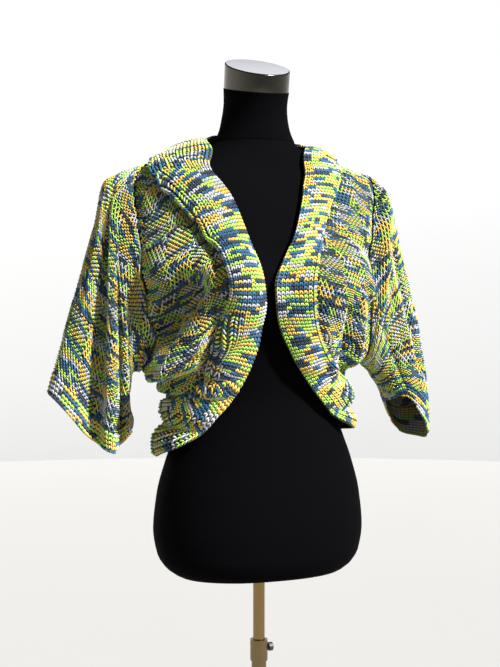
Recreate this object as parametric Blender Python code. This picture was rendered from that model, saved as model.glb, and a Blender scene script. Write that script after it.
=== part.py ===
"""A knitted shrug cardigan worn by a limbless dress form on a telescopic stand.

Units are metres. +Z is up, the form faces -Y, and the origin is the middle of the
base's underside. Right and left are the wearer's, so the right side is at -X.

The body of the cardigan is one surface round the form, given by an angle about the
vertical axis and a height. Angle 0 is the centre front, +90 the left side and 180 the
centre back. The surface is the form's own skin, moved out by the cloth's ease and folds.
"""

import math

import bpy
import numpy as np

# Stand
BASE_RADIUS = 0.150
BASE_THICKNESS = 0.012
BASE_EDGE = 0.003
SOCKET_RADIUS = 0.022
SOCKET_HEIGHT = 0.030
LOWER_TUBE_RADIUS = 0.0120
LOWER_TUBE_BORE = 0.0102
LOWER_TUBE_TOP = 0.606
COLLAR_RADIUS = 0.0142
COLLAR_HEIGHT = 0.034
COLLAR_TOP = 0.606
UPPER_POLE_RADIUS = 0.0095
UPPER_POLE_FOOT = 0.230
UPPER_POLE_EDGE = 0.0010
SCREW_HEIGHT = 0.592
SCREW_RADIUS = 0.0030
SCREW_CLEARANCE = 0.0004
SCREW_STAND_OFF = 0.0015
SCREW_KNOB_RADIUS = 0.0070
SCREW_KNOB_LENGTH = 0.0075
SCREW_STEPS = 20
TOUCH_GAP = 0.0003

# Dress form: the skin's level sections, from the flat underside to the top of the neck
FORM_COLUMNS = ("height", "half_width", "front", "back", "centre_y", "squareness")
FORM = (
    (0.715, 0.116, 0.072, 0.078, 0.000, 0.88),
    (0.719, 0.134, 0.088, 0.094, 0.000, 0.88),
    (0.732, 0.153, 0.100, 0.108, 0.000, 0.88),
    (0.752, 0.165, 0.108, 0.120, 0.000, 0.88),
    (0.790, 0.171, 0.110, 0.126, 0.000, 0.88),
    (0.845, 0.166, 0.106, 0.118, 0.000, 0.88),
    (0.900, 0.152, 0.098, 0.102, 0.000, 0.88),
    (0.950, 0.134, 0.091, 0.088, 0.000, 0.88),
    (1.000, 0.122, 0.086, 0.080, 0.000, 0.88),
    (1.050, 0.126, 0.092, 0.080, 0.000, 0.88),
    (1.110, 0.137, 0.106, 0.086, 0.000, 0.88),
    (1.180, 0.147, 0.116, 0.095, 0.000, 0.88),
    (1.240, 0.156, 0.108, 0.101, 0.000, 0.88),
    (1.290, 0.170, 0.090, 0.099, 0.002, 0.88),
    (1.320, 0.182, 0.075, 0.090, 0.003, 0.88),
    (1.337, 0.184, 0.065, 0.080, 0.004, 0.88),
    (1.350, 0.173, 0.058, 0.072, 0.006, 0.88),
    (1.360, 0.154, 0.055, 0.066, 0.010, 0.88),
    (1.370, 0.130, 0.054, 0.061, 0.013, 0.90),
    (1.380, 0.106, 0.054, 0.058, 0.016, 0.92),
    (1.390, 0.085, 0.054, 0.056, 0.019, 0.95),
    (1.402, 0.069, 0.053, 0.054, 0.021, 0.98),
    (1.430, 0.056, 0.052, 0.052, 0.021, 1.00),
    (1.465, 0.051, 0.051, 0.051, 0.017, 1.00),
    (1.488, 0.0525, 0.0525, 0.0525, 0.013, 1.00),
)
BUST_OUT = 0.030
BUST_X = 0.072
BUST_HEIGHT = 1.175
BUST_SPREAD = 0.052
NECK_SLANT_FROM = 1.430
NECK_SLANT = 12.0
CAP_RADIUS = 0.0520
CAP_LEAN = 0.0055
CAP_HEIGHT = 0.0365
CAP_SLANT = 21.0
CAP_EDGE = 0.0015

# Knitted cloth
WALL = 0.0040
SEAM_GAP = 0.0003
SEAM_TURN = 0.06
SEAM_TUCK = 0.012
LEAST_EASE = 0.0045

# How far the body cloth stands off the form, by height, at the front, the right side,
# the back and the left side. Where it stands off further than SAG_FROM, it also sags.
EASE_COLUMNS = ("height", "front", "right", "back", "left")
EASE = (
    (0.895, 0.0055, 0.0160, 0.0060, 0.0080),
    (0.930, 0.0060, 0.0270, 0.0080, 0.0090),
    (0.953, 0.0065, 0.0120, 0.0070, 0.0240),
    (0.975, 0.0075, 0.0270, 0.0110, 0.0120),
    (0.998, 0.0090, 0.0280, 0.0150, 0.0260),
    (1.010, 0.0100, 0.0260, 0.0150, 0.0230),
    (1.026, 0.0110, 0.0400, 0.0200, 0.0130),
    (1.042, 0.0120, 0.0330, 0.0280, 0.0140),
    (1.060, 0.0130, 0.0540, 0.0340, 0.0340),
    (1.085, 0.0120, 0.0640, 0.0350, 0.0450),
    (1.120, 0.0100, 0.0600, 0.0290, 0.0430),
    (1.180, 0.0090, 0.0560, 0.0200, 0.0370),
    (1.240, 0.0080, 0.0540, 0.0140, 0.0300),
    (1.290, 0.0070, 0.0440, 0.0100, 0.0180),
    (1.325, 0.0065, 0.0260, 0.0080, 0.0100),
    (1.345, 0.0060, 0.0160, 0.0070, 0.0080),
    (1.370, 0.0055, 0.0100, 0.0060, 0.0060),
    (1.410, 0.0050, 0.0060, 0.0055, 0.0050),
)
SIDE_FALLOFF = 2.4
REST_HEIGHT, REST_SPREAD, REST_DEPTH = 1.3590, 0.014, 0.0046
SAG_FROM, SAG_SHARE = 0.022, 0.35

# Body folds: each runs straight from one point to another on the surface
FOLD_COLUMNS = (
    "angle_1", "height_1", "angle_2", "height_2", "half_width", "rise",
)
FOLDS = (
    (-66.0, 1.130, -54.0, 1.168, 0.016, -0.036),
    (-74.0, 1.066, -46.0, 1.112, 0.022, 0.020),
    (-41.0, 1.125, -49.0, 1.050, 0.010, -0.012),
    (-66.0, 1.262, -48.0, 1.270, 0.010, -0.006),
    (-60.0, 1.212, -44.0, 1.205, 0.024, 0.010),
    (24.0, 1.110, 32.0, 1.066, 0.012, 0.008),
    (42.0, 1.130, 44.0, 1.068, 0.012, -0.009),
    (53.0, 1.120, 55.0, 1.075, 0.014, 0.008),
    (66.0, 1.230, 66.0, 1.080, 0.012, -0.010),
    (36.0, 1.225, 58.0, 1.180, 0.018, 0.007),
    (-150.0, 1.100, 165.0, 1.070, 0.022, 0.014),
    (-120.0, 1.180, -165.0, 1.110, 0.018, -0.010),
    (120.0, 1.190, 165.0, 1.120, 0.018, -0.010),
    (-130.0, 1.035, 170.0, 1.020, 0.012, -0.010),
    (115.0, 1.045, 160.0, 1.025, 0.012, -0.010),
)
FOLD_ARC = 0.150

# Armholes: the side openings of the body, between two heights
RIGHT, LEFT = -1.0, 1.0
ARMHOLE_COLUMNS = ("top", "bottom", "front_angle", "back_angle")
ARMHOLES = {
    RIGHT: (1.350, 1.074, 13.0, 15.0),
    LEFT: (1.350, 1.070, 21.0, 17.0),
}

# Front bands: the free edge and the seam edge of the band, by angle and height, from the
# centre back of the neck down to the side seam, with how far each edge and the middle of
# the band stand off the body cloth. The right band is turned out like a lapel.
BAND_COLUMNS = (
    "free_angle", "free_height", "seam_angle", "seam_height",
    "free_lift", "middle_lift", "seam_lift",
)
BANDS = {
    RIGHT: (
        (180.0, 1.418, 180.0, 1.352, 0.0015, 0.0090, 0.0060),
        (140.0, 1.418, 140.0, 1.356, 0.0015, 0.0100, 0.0060),
        (110.0, 1.406, 104.0, 1.360, 0.0020, 0.0140, 0.0090),
        (86.0, 1.396, 88.0, 1.356, 0.0020, 0.0150, 0.0120),
        (50.0, 1.380, 66.0, 1.336, 0.0020, 0.0150, 0.0140),
        (31.0, 1.350, 54.0, 1.312, 0.0020, 0.0150, 0.0140),
        (22.0, 1.308, 45.0, 1.278, 0.0020, 0.0150, 0.0140),
        (20.0, 1.262, 39.0, 1.242, 0.0020, 0.0150, 0.0130),
        (18.5, 1.214, 33.0, 1.206, 0.0020, 0.0140, 0.0120),
        (17.5, 1.178, 31.0, 1.178, 0.0020, 0.0130, 0.0100),
        (15.0, 1.142, 34.0, 1.150, 0.0020, 0.0120, 0.0090),
        (15.0, 1.104, 37.0, 1.122, 0.0020, 0.0120, 0.0095),
        (20.0, 1.056, 41.0, 1.086, 0.0020, 0.0120, 0.0095),
        (31.0, 1.008, 47.0, 1.048, 0.0020, 0.0120, 0.0095),
        (48.0, 0.958, 60.0, 1.018, 0.0020, 0.0110, 0.0085),
        (64.0, 0.924, 74.0, 1.000, 0.0020, 0.0090, 0.0085),
        (90.0, 0.904, 90.0, 0.992, 0.0020, 0.0070, 0.0085),
    ),
    LEFT: (
        (180.0, 1.418, 180.0, 1.352, 0.0015, 0.0090, 0.0060),
        (140.0, 1.416, 140.0, 1.356, 0.0015, 0.0090, 0.0060),
        (110.0, 1.402, 106.0, 1.362, 0.0015, 0.0080, 0.0060),
        (86.0, 1.394, 86.0, 1.372, 0.0015, 0.0080, 0.0060),
        (42.0, 1.386, 58.0, 1.368, 0.0015, 0.0080, 0.0060),
        (21.0, 1.366, 40.0, 1.358, 0.0015, 0.0080, 0.0060),
        (12.5, 1.334, 31.0, 1.330, 0.0015, 0.0080, 0.0060),
        (9.0, 1.296, 24.0, 1.296, 0.0015, 0.0080, 0.0060),
        (4.0, 1.252, 18.0, 1.252, 0.0015, 0.0090, 0.0060),
        (-3.0, 1.212, 14.0, 1.212, 0.0015, 0.0090, 0.0060),
        (-10.0, 1.176, 12.0, 1.178, 0.0015, 0.0090, 0.0060),
        (-7.5, 1.146, 13.0, 1.150, 0.0015, 0.0090, 0.0060),
        (-2.0, 1.106, 17.0, 1.116, 0.0015, 0.0090, 0.0060),
        (7.0, 1.060, 26.0, 1.078, 0.0015, 0.0090, 0.0060),
        (27.0, 1.004, 44.0, 1.042, 0.0015, 0.0090, 0.0060),
        (47.0, 0.962, 64.0, 1.026, 0.0015, 0.0080, 0.0060),
        (70.0, 0.943, 78.0, 1.019, 0.0015, 0.0070, 0.0060),
        (90.0, 0.937, 90.0, 1.016, 0.0020, 0.0070, 0.0085),
    ),
}
FRONT_SEAM_ROW = 3
BAND_TRIM = 0.0003

# Hem band across the back, from the right side seam to the left one
HEM_COLUMNS = (
    "angle", "free_height", "seam_height", "free_lift", "middle_lift", "seam_lift",
)
HEM = (
    (-90.0, 0.904, 0.992, 0.0020, 0.0070, 0.0085),
    (-115.0, 0.905, 0.985, 0.0020, 0.0080, 0.0075),
    (-145.0, 0.909, 0.980, 0.0020, 0.0090, 0.0060),
    (-180.0, 0.914, 0.983, 0.0020, 0.0090, 0.0060),
    (-215.0, 0.922, 0.992, 0.0020, 0.0090, 0.0060),
    (-245.0, 0.931, 1.005, 0.0020, 0.0080, 0.0080),
    (-270.0, 0.937, 1.016, 0.0020, 0.0070, 0.0085),
)

# Sleeves hang empty. Each ring runs from an outer point, over the front, to an inner
# point and home over the back. Ring 0 is the armhole itself, and the cuff lies between
# the last two rings. Two strips run down the front, with a groove outside the first and
# a pleat between them.
SLEEVE_COLUMNS = (
    "outer_x", "outer_z", "inner_x", "inner_z", "centre_y", "front", "back",
    "front_drop", "back_drop", "strip_at", "strip", "groove", "pleat",
)
SLEEVES = {
    RIGHT: (
        (0.216, 1.354, 0.208, 1.050, 0.006, 0.042, 0.047, 0.0, 0.0, 0.090, 0.0, 0.0, 0.0),
        (0.247, 1.336, 0.210, 1.042, 0.008, 0.038, 0.048, 0.0, 0.0, 0.110, 0.003, 0.000, 0.003),
        (0.262, 1.272, 0.212, 1.032, 0.010, 0.036, 0.048, 0.0, 0.0, 0.160, 0.009, 0.003, 0.008),
        (0.279, 1.212, 0.212, 1.020, 0.012, 0.034, 0.046, 0.004, 0.0, 0.224, 0.014, 0.008, 0.011),
        (0.297, 1.150, 0.213, 1.008, 0.014, 0.031, 0.044, 0.014, 0.0, 0.266, 0.016, 0.012, 0.012),
        (0.313, 1.094, 0.212, 0.996, 0.015, 0.029, 0.042, 0.032, 0.0, 0.290, 0.018, 0.013, 0.014),
        (0.327, 1.045, 0.210, 0.984, 0.016, 0.027, 0.040, 0.052, 0.0, 0.300, 0.018, 0.012, 0.014),
        (0.336, 1.013, 0.206, 0.972, 0.016, 0.026, 0.038, 0.063, 0.0, 0.302, 0.016, 0.010, 0.012),
    ),
    LEFT: (
        (0.212, 1.350, 0.182, 1.052, 0.004, 0.058, 0.050, 0.0, 0.0, 0.25, 0.0, 0.0, 0.0),
        (0.226, 1.312, 0.188, 1.046, 0.006, 0.052, 0.056, 0.0, 0.0, 0.25, 0.0, 0.004, 0.0),
        (0.242, 1.252, 0.196, 1.040, 0.008, 0.045, 0.058, 0.0, 0.0, 0.25, 0.0, 0.005, 0.0),
        (0.261, 1.192, 0.205, 1.033, 0.010, 0.041, 0.058, 0.0, 0.0, 0.25, 0.0, 0.005, 0.0),
        (0.280, 1.122, 0.214, 1.022, 0.012, 0.038, 0.058, -0.004, 0.004, 0.25, 0.0, 0.004, 0.0),
        (0.295, 1.050, 0.223, 1.012, 0.014, 0.036, 0.054, -0.012, 0.010, 0.25, 0.0, 0.003, 0.0),
        (0.304, 0.975, 0.232, 0.998, 0.014, 0.034, 0.048, -0.022, 0.016, 0.25, 0.0, 0.0, 0.0),
        (0.305, 0.920, 0.240, 0.984, 0.014, 0.032, 0.042, -0.026, 0.020, 0.25, 0.0, 0.0, 0.0),
    ),
}
SLEEVE_ROUNDNESS = 0.80
FRONT_DROP_AT, DROP_OUTWARD, DROP_INWARD = 0.31, 0.17, 0.11
BACK_DROP_AT, BACK_DROP_SPREAD = 0.76, 0.13
STRIP_MARK, STRIP_SPREAD = 0.25, 0.036
SECOND_STRIP_AFTER, SECOND_STRIP_SHARE, SECOND_STRIP_SPREAD = 0.125, 0.7, 0.040
GROOVE_BEFORE, GROOVE_SPREAD = 0.064, 0.028
PLEAT_AFTER, PLEAT_SPREAD = 0.062, 0.026
ROLL_OUT = {RIGHT: 0.0, LEFT: 0.014}
ROLL_AT, ROLL_SPREAD = 0.50, 0.28
ARMHOLE_LAP, ARMHOLE_LAP_TURN = 0.0015, 0.5
ARMHOLE_LIFT = {RIGHT: 0.0050, LEFT: 0.0043}
CUFF_FROM, CUFF_TO = 6.0, 7.0

# How finely each wall is divided
BODY_ROWS, PANEL_STEPS, BACK_STEPS = 25, 17, 18
SLEEVE_ROWS, SLEEVE_STEPS = 14, 44
SLEEVE_ROW_POWER, FRONT_CLOSENESS = 1.3, 0.42
CUFF_ROWS = 3
BAND_STEPS, BAND_ROWS = 44, 6
HEM_STEPS = 26
FORM_STEPS, ROUND_STEPS = 28, 28

COLOURS = {
    "knit": ((0.42, 0.52, 0.27), 0.9, 0.0),
    "rib": ((0.30, 0.45, 0.40), 0.9, 0.0),
    "jersey": ((0.012, 0.012, 0.014), 0.85, 0.0),
    "chrome": ((0.72, 0.72, 0.70), 0.12, 1.0),
    "steel": ((0.55, 0.50, 0.42), 0.25, 1.0),
    "knob": ((0.05, 0.05, 0.05), 0.45, 0.0),
}


def curve_through(rows, at):
    """All columns of a table, on a smooth curve through its rows that never overshoots.

    The first column is the place of each row, in rising order.
    """
    table = np.array(rows, float)
    place, values = table[:, 0], table[:, 1:]
    step = np.diff(place)[:, None]
    slope = np.diff(values, axis=0) / step
    same_way = slope[1:] * slope[:-1] > 0
    total = slope[1:] + slope[:-1]
    mean = np.where(same_way, 2 * slope[1:] * slope[:-1] / np.where(total == 0, 1, total), 0)
    tangent = np.concatenate([slope[:1], mean, slope[-1:]])
    at = np.clip(np.asarray(at, float), place[0], place[-1])
    index = np.clip(np.searchsorted(place, at, side="right") - 1, 0, len(place) - 2)
    width = step[index, 0]
    t = ((at - place[index]) / width)[..., None]
    width = width[..., None]
    found = values[index] * (1 + 2 * t) * (1 - t) ** 2
    found = found + values[index + 1] * t * t * (3 - 2 * t)
    found = found + tangent[index] * width * t * (1 - t) ** 2
    return found - tangent[index + 1] * width * t * t * (1 - t)


def signed_power(value, exponent):
    return np.sign(value) * np.abs(value) ** exponent


def smooth_step(t):
    t = np.clip(t, 0.0, 1.0)
    return t * t * (3 - 2 * t)


def form_point(angle, height):
    """A point of the form's skin. Angles are in degrees from the centre front."""
    angle, height = np.broadcast_arrays(np.radians(angle), height)
    sections = curve_through(FORM, height)
    half_width, front, back, centre, squareness = (sections[..., i] for i in range(5))
    across, ahead = np.sin(angle), np.cos(angle)
    depth = np.where(ahead > 0, front, back)
    x = half_width * signed_power(across, squareness)
    y = centre - depth * signed_power(ahead, squareness)
    bust = np.exp(-((np.abs(x) - BUST_X) ** 2 + (height - BUST_HEIGHT) ** 2) / BUST_SPREAD**2)
    y = y - BUST_OUT * bust * smooth_step(ahead / 0.35)
    return np.stack([x, y, height], axis=-1)


def surface_normal(surface, angle, height):
    """Unit normal, pointing away from the form, of a surface given by angle and height."""
    turn, rise = 0.6, 0.0012
    along = surface(angle + turn, height) - surface(angle - turn, height)
    up = surface(angle, height + rise) - surface(angle, height - rise)
    normal = np.cross(along, up)
    return normal / np.linalg.norm(normal, axis=-1, keepdims=True)


def fold_height(angle, height):
    """How far all the folds together raise or sink the cloth."""
    total = np.zeros(np.broadcast(angle, height).shape)
    for angle_1, height_1, angle_2, height_2, half_width, rise in FOLDS:
        turn_2 = (angle_2 - angle_1 + 180.0) % 360.0 - 180.0
        turn = (angle - angle_1 + 180.0) % 360.0 - 180.0
        end = np.array([math.radians(turn_2) * FOLD_ARC, height_2 - height_1])
        length = math.hypot(*end)
        direction = end / length
        x, z = np.radians(turn) * FOLD_ARC, height - height_1
        along = x * direction[0] + z * direction[1]
        aside = z * direction[0] - x * direction[1]
        beyond = np.maximum(0.0, np.maximum(-along, along - length))
        distance = np.hypot(aside / half_width, beyond / (2.0 * half_width))
        total = total + rise * np.exp(-distance * distance)
    return total


def ease_at(angle, height):
    """How far the middle of the body cloth stands off the form. It rests on the shoulders."""
    columns = curve_through(EASE, height)
    front, right, back, left = (columns[..., i] for i in range(4))
    across, ahead = np.sin(np.radians(angle)), np.cos(np.radians(angle))
    side = np.where(across < 0, right, left)
    face = np.where(ahead > 0, front, back)
    plain = face + (side - face) * np.abs(across) ** SIDE_FALLOFF
    folded = plain + fold_height(angle, height)
    softness = 0.004
    excess = folded - LEAST_EASE
    ease = LEAST_EASE + 0.5 * (excess + np.sqrt(excess * excess + softness * softness))
    rest = np.exp(-(((height - REST_HEIGHT) / REST_SPREAD) ** 2)) * across * across
    return ease - REST_DEPTH * rest


def cloth_point(angle, height):
    """The middle of the body cloth."""
    angle, height = np.broadcast_arrays(np.asarray(angle, float), np.asarray(height, float))
    skin = form_point(angle, height)
    outward = surface_normal(form_point, angle, height)
    ease = ease_at(angle, height)
    cloth = skin + outward * ease[..., None]
    cloth[..., 2] -= SAG_SHARE * np.maximum(0.0, ease - SAG_FROM)
    return cloth


def cloth_normal(angle, height):
    return surface_normal(cloth_point, angle, height)


def armhole_angle(side, height, back=False):
    """How far round from the side line, in degrees, the armhole reaches at a height."""
    top, bottom, front_angle, back_angle = ARMHOLES[side]
    middle, half = (top + bottom) / 2, (top - bottom) / 2
    share = np.clip((height - middle) / half, -1.0, 1.0)
    return (back_angle if back else front_angle) * np.sqrt(1.0 - share * share)


def sleeve_marks():
    """Marks round a sleeve, closer together over the front where the strips are."""
    even = np.arange(SLEEVE_STEPS) / SLEEVE_STEPS
    return even + FRONT_CLOSENESS * (np.cos(2 * np.pi * even) - 1) / (2 * np.pi)


def share_around(mark, strip_at):
    """Where a mark lies round a ring, so that the first strip is always at STRIP_MARK."""
    before = mark * strip_at / STRIP_MARK
    after = strip_at + (mark - STRIP_MARK) * (1 - strip_at) / (1 - STRIP_MARK)
    return np.where(mark < STRIP_MARK, before, after)


def band_edges(side, at):
    """The band's two edges at shares of its length, as angles and heights, and its lifts."""
    rows = BANDS[side]
    marks = np.linspace(0.0, 1.0, len(rows))
    numbered = [(mark, *row) for mark, row in zip(marks, rows)]
    return curve_through(numbered, at)


def band_place(side, along, across):
    """Angle, height and lift of a point of a front band. Across runs from the free edge."""
    columns = band_edges(side, along)
    free_angle, free_height, seam_angle, seam_height = (columns[..., i] for i in range(4))
    free_lift, middle_lift, seam_lift = (columns[..., i] for i in range(4, 7))
    angle = side * (free_angle + (seam_angle - free_angle) * across)
    angle = np.clip(angle, -180.0 + SEAM_TURN, 180.0 - SEAM_TURN)
    height = free_height + (seam_height - free_height) * across
    bow = 4 * across * (1 - across)
    lift = free_lift + (seam_lift - free_lift) * across
    lift = lift + (middle_lift - (free_lift + seam_lift) / 2) * bow
    return angle, height, lift


def unit_rows(vectors):
    return vectors / np.linalg.norm(vectors, axis=-1, keepdims=True)


def panel_inner_line(side, t):
    """The front panel's edge under the band: angles and heights from shoulder to hem."""
    rows = np.array(BANDS[side])[FRONT_SEAM_ROW:]
    tuck = SEAM_TUCK / 0.070
    angle = rows[:, 2] + (rows[:, 0] - rows[:, 2]) * tuck
    height = rows[:, 3] + (rows[:, 1] - rows[:, 3]) * tuck
    angle[0], angle[-1] = 90.0, 90.0
    marks = np.linspace(0.0, 1.0, len(rows))
    found = curve_through(list(zip(marks, angle, height)), t)
    return found[..., 0], found[..., 1]


def front_panel(side):
    """Grid of angles and heights for a front, rows from the shoulder seam to the hem."""
    t = np.linspace(0.0, 1.0, BODY_ROWS)[:, None]
    s = np.linspace(0.0, 1.0, PANEL_STEPS)[None, :]
    last = 0.93
    inner_angle, inner_height = panel_inner_line(side, t * last)
    top = ARMHOLES[side][0]
    hem = hem_seam_height(90.0 if side == RIGHT else 270.0) - SEAM_TUCK
    outer_height = top + (hem - top) * t
    outer_angle = 90.0 - armhole_angle(side, outer_height)
    inner_height = inner_height + 0 * s
    height = inner_height + (outer_height - inner_height) * s
    angle = inner_angle + (outer_angle - inner_angle) * s
    angle = np.minimum(angle, 90.0 - SEAM_TURN)
    return side * angle, height


def hem_seam_height(turn):
    """Height of the hem band's seam at a turn, which runs from 90 on the right to 270."""
    return curve_through([(-row[0], row[2]) for row in HEM], turn)[..., 0]


def back_panel():
    """Grid of angles and heights for the back, rows from the shoulders to the hem."""
    t = np.linspace(0.0, 1.0, BODY_ROWS)[:, None]
    s = np.linspace(0.0, 1.0, BACK_STEPS)[None, :]
    neck_height, shoulder_share = 1.366, 0.26
    hem = hem_seam_height(90.0 + 180.0 * s) - SEAM_TUCK
    top_right, top_left = ARMHOLES[RIGHT][0], ARMHOLES[LEFT][0]
    ridge = np.clip(np.minimum(s, 1 - s) / shoulder_share, 0.0, 1.0)
    tip = np.where(s < 0.5, top_right, top_left)
    top_height = tip + (neck_height - tip) * ridge
    round_share = np.clip((s - shoulder_share) / (1 - 2 * shoulder_share), 0.0, 1.0)
    top_angle = -90.0 - 180.0 * round_share
    plain_height = top_right + (hem - top_right) * t
    right_turn = armhole_angle(RIGHT, plain_height, back=True)
    left_turn = armhole_angle(LEFT, plain_height, back=True)
    plain_angle = -90.0 - right_turn - (180.0 - right_turn - left_turn) * s
    settle = smooth_step(t / 0.30)
    height = top_height * (1 - settle) + plain_height * settle
    height = height - 0.30 * (top_right - hem) * t * (1 - settle)
    angle = top_angle * (1 - settle) + plain_angle * settle
    return np.clip(angle, -270.0 + SEAM_TURN, -90.0 - SEAM_TURN), height


def armhole_ring(side, around):
    """Angle and height of the sleeve's edge, which laps over the edge of the armhole.

    Around is 0 at the top and 0.25 at the front.
    """
    top, bottom = ARMHOLES[side][:2]
    turn = 2 * np.pi * around
    height = (top + bottom) / 2 + (top - bottom) / 2 * np.cos(turn)
    lap = ARMHOLE_LAP_TURN * np.abs(np.sin(turn))
    front = 90.0 - armhole_angle(side, height) - lap
    back = 90.0 + armhole_angle(side, height, back=True) + lap
    angle = side * np.where(np.sin(turn) >= 0, front, back)
    return angle, height + ARMHOLE_LAP * np.cos(turn)


def bump(around, centre, spread):
    return np.exp(-(((around - centre) / spread) ** 2))


def sleeve_point(side, mark, station):
    """The middle of a sleeve's cloth. Marks run from 0 at the outer fold over the front."""
    mark, station = np.broadcast_arrays(mark, station)
    numbered = [(float(i), *row) for i, row in enumerate(SLEEVES[side])]
    c = curve_through(numbered, station)
    outer_x, outer_z, inner_x, inner_z, centre_y, front, back = (
        c[..., i] for i in range(7)
    )
    front_drop, back_drop, strip_at, strip, groove, pleat = (c[..., i] for i in range(7, 13))
    around = share_around(mark, strip_at)
    turn = 2 * np.pi * around
    share = (1 + np.cos(turn)) / 2
    x = inner_x + (outer_x - inner_x) * share
    z = inner_z + (outer_z - inner_z) * share
    drop_spread = np.where(around < FRONT_DROP_AT, DROP_OUTWARD, DROP_INWARD)
    z = z - front_drop * bump(around, FRONT_DROP_AT, drop_spread)
    z = z - back_drop * bump(around, BACK_DROP_AT, BACK_DROP_SPREAD)
    swell = signed_power(np.sin(turn), SLEEVE_ROUNDNESS)
    y = centre_y - swell * np.where(swell > 0, front, back)
    second = bump(mark, STRIP_MARK + SECOND_STRIP_AFTER, SECOND_STRIP_SPREAD)
    y = y - strip * bump(mark, STRIP_MARK, STRIP_SPREAD)
    y = y - strip * SECOND_STRIP_SHARE * second
    y = y + groove * bump(mark, STRIP_MARK - GROOVE_BEFORE, GROOVE_SPREAD)
    y = y + pleat * bump(mark, STRIP_MARK + PLEAT_AFTER, PLEAT_SPREAD)
    free = np.stack([side * x, y, z], axis=-1)
    ring = armhole_ring(side, share_around(mark, SLEEVES[side][0][9]))
    rim = cloth_point(*ring) + cloth_normal(*ring) * ARMHOLE_LIFT[side]
    nearby = np.clip(1 - station, 0.0, 1.0)[..., None] ** 2
    cloth = rim * nearby + free * (1 - nearby)
    roll = ROLL_OUT[side] * bump(station, ROLL_AT, ROLL_SPREAD) * np.maximum(0.0, np.sin(turn))
    cloth[..., 1] -= roll
    return cloth


def make_material(name):
    colour, roughness, metallic = COLOURS[name]
    material = bpy.data.materials.new(name)
    material.use_nodes = True
    shader = material.node_tree.nodes["Principled BSDF"]
    shader.inputs["Base Color"].default_value = (*colour, 1.0)
    shader.inputs["Roughness"].default_value = roughness
    shader.inputs["Metallic"].default_value = metallic
    material.diffuse_color = (*colour, 1.0)
    return material


def make_object(name, vertices, faces, material):
    mesh = bpy.data.meshes.new(name)
    mesh.from_pydata([tuple(v) for v in vertices], [], faces)
    mesh.materials.append(material)
    mesh.shade_smooth()
    mesh.set_sharp_from_angle(angle=math.radians(50))
    made = bpy.data.objects.new(name, mesh)
    bpy.context.scene.collection.objects.link(made)
    return made


def make_wall(name, points, normals, material, closed=False, thickness=WALL):
    """A wall of even thickness about a grid of points, with all its edges closed."""
    rows, steps = points.shape[:2]
    turned = np.cross(np.diff(points[:, :-1], axis=0), np.diff(points[:-1], axis=1))
    if np.sum(turned * normals[:-1, :-1]) < 0:
        points, normals = points[:, ::-1], normals[:, ::-1]
    outer = points + normals * thickness / 2
    inner = points - normals * thickness / 2
    count = rows * steps
    vertices = np.concatenate([outer.reshape(-1, 3), inner.reshape(-1, 3)])
    grid = np.arange(count).reshape(rows, steps)
    if closed:
        grid = np.concatenate([grid, grid[:, :1]], axis=1)
    a, b = grid[:-1, :-1].ravel(), grid[:-1, 1:].ravel()
    c, d = grid[1:, 1:].ravel(), grid[1:, :-1].ravel()
    faces = [tuple(f) for f in np.stack([a, d, c, b], axis=1)]
    faces += [tuple(f + count) for f in np.stack([a, b, c, d], axis=1)]
    # Rims of two walls that meet at a seam are split along the same diagonals
    for rim in (grid[0], grid[::-1, 0]) if not closed else (grid[0],):
        for first, second in zip(rim[:-1], rim[1:]):
            faces.append((first, second, second + count))
            faces.append((first, second + count, first + count))
    for rim in (grid[-1], grid[::-1, -1]) if not closed else (grid[-1],):
        for first, second in zip(rim[:-1], rim[1:]):
            faces.append((second, first, second + count))
            faces.append((first, first + count, second + count))
    return make_object(name, vertices, faces, material)


def make_turned(name, profile, material, centre=(0.0, 0.0), steps=ROUND_STEPS):
    """A solid of revolution about a vertical axis. Profile rows are radius and height."""
    turns = np.linspace(0.0, 2 * np.pi, steps, endpoint=False)
    rings = []
    for radius, height in profile:
        x, y = centre[0] + radius * np.cos(turns), centre[1] + radius * np.sin(turns)
        rings.append(np.stack([x, y, np.full(steps, height)], axis=1))
    return make_lofted(name, rings, material)


def make_lofted(name, rings, material, closed_profile=False):
    """A solid through rings of equal count, capped at both ends unless they loop."""
    steps = len(rings[0])
    vertices = np.concatenate(rings)
    faces = []
    pairs = list(zip(range(len(rings) - 1), range(1, len(rings))))
    if closed_profile:
        pairs.append((len(rings) - 1, 0))
    for low, high in pairs:
        for i in range(steps):
            j = (i + 1) % steps
            faces.append((low * steps + i, low * steps + j, high * steps + j, high * steps + i))
    if not closed_profile:
        faces.append(tuple(range(steps))[::-1])
        faces.append(tuple(range((len(rings) - 1) * steps, len(rings) * steps)))
    return make_object(name, vertices, faces, material)


def make_tube(name, inner, outer, low, high, material):
    profile = ((outer, low), (outer, high), (inner, high), (inner, low))
    turns = np.linspace(0.0, 2 * np.pi, ROUND_STEPS, endpoint=False)
    rings = [
        np.stack([r * np.cos(turns), r * np.sin(turns), np.full(ROUND_STEPS, z)], axis=1)
        for r, z in profile
    ]
    return make_lofted(name, rings, material, closed_profile=True)


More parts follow.
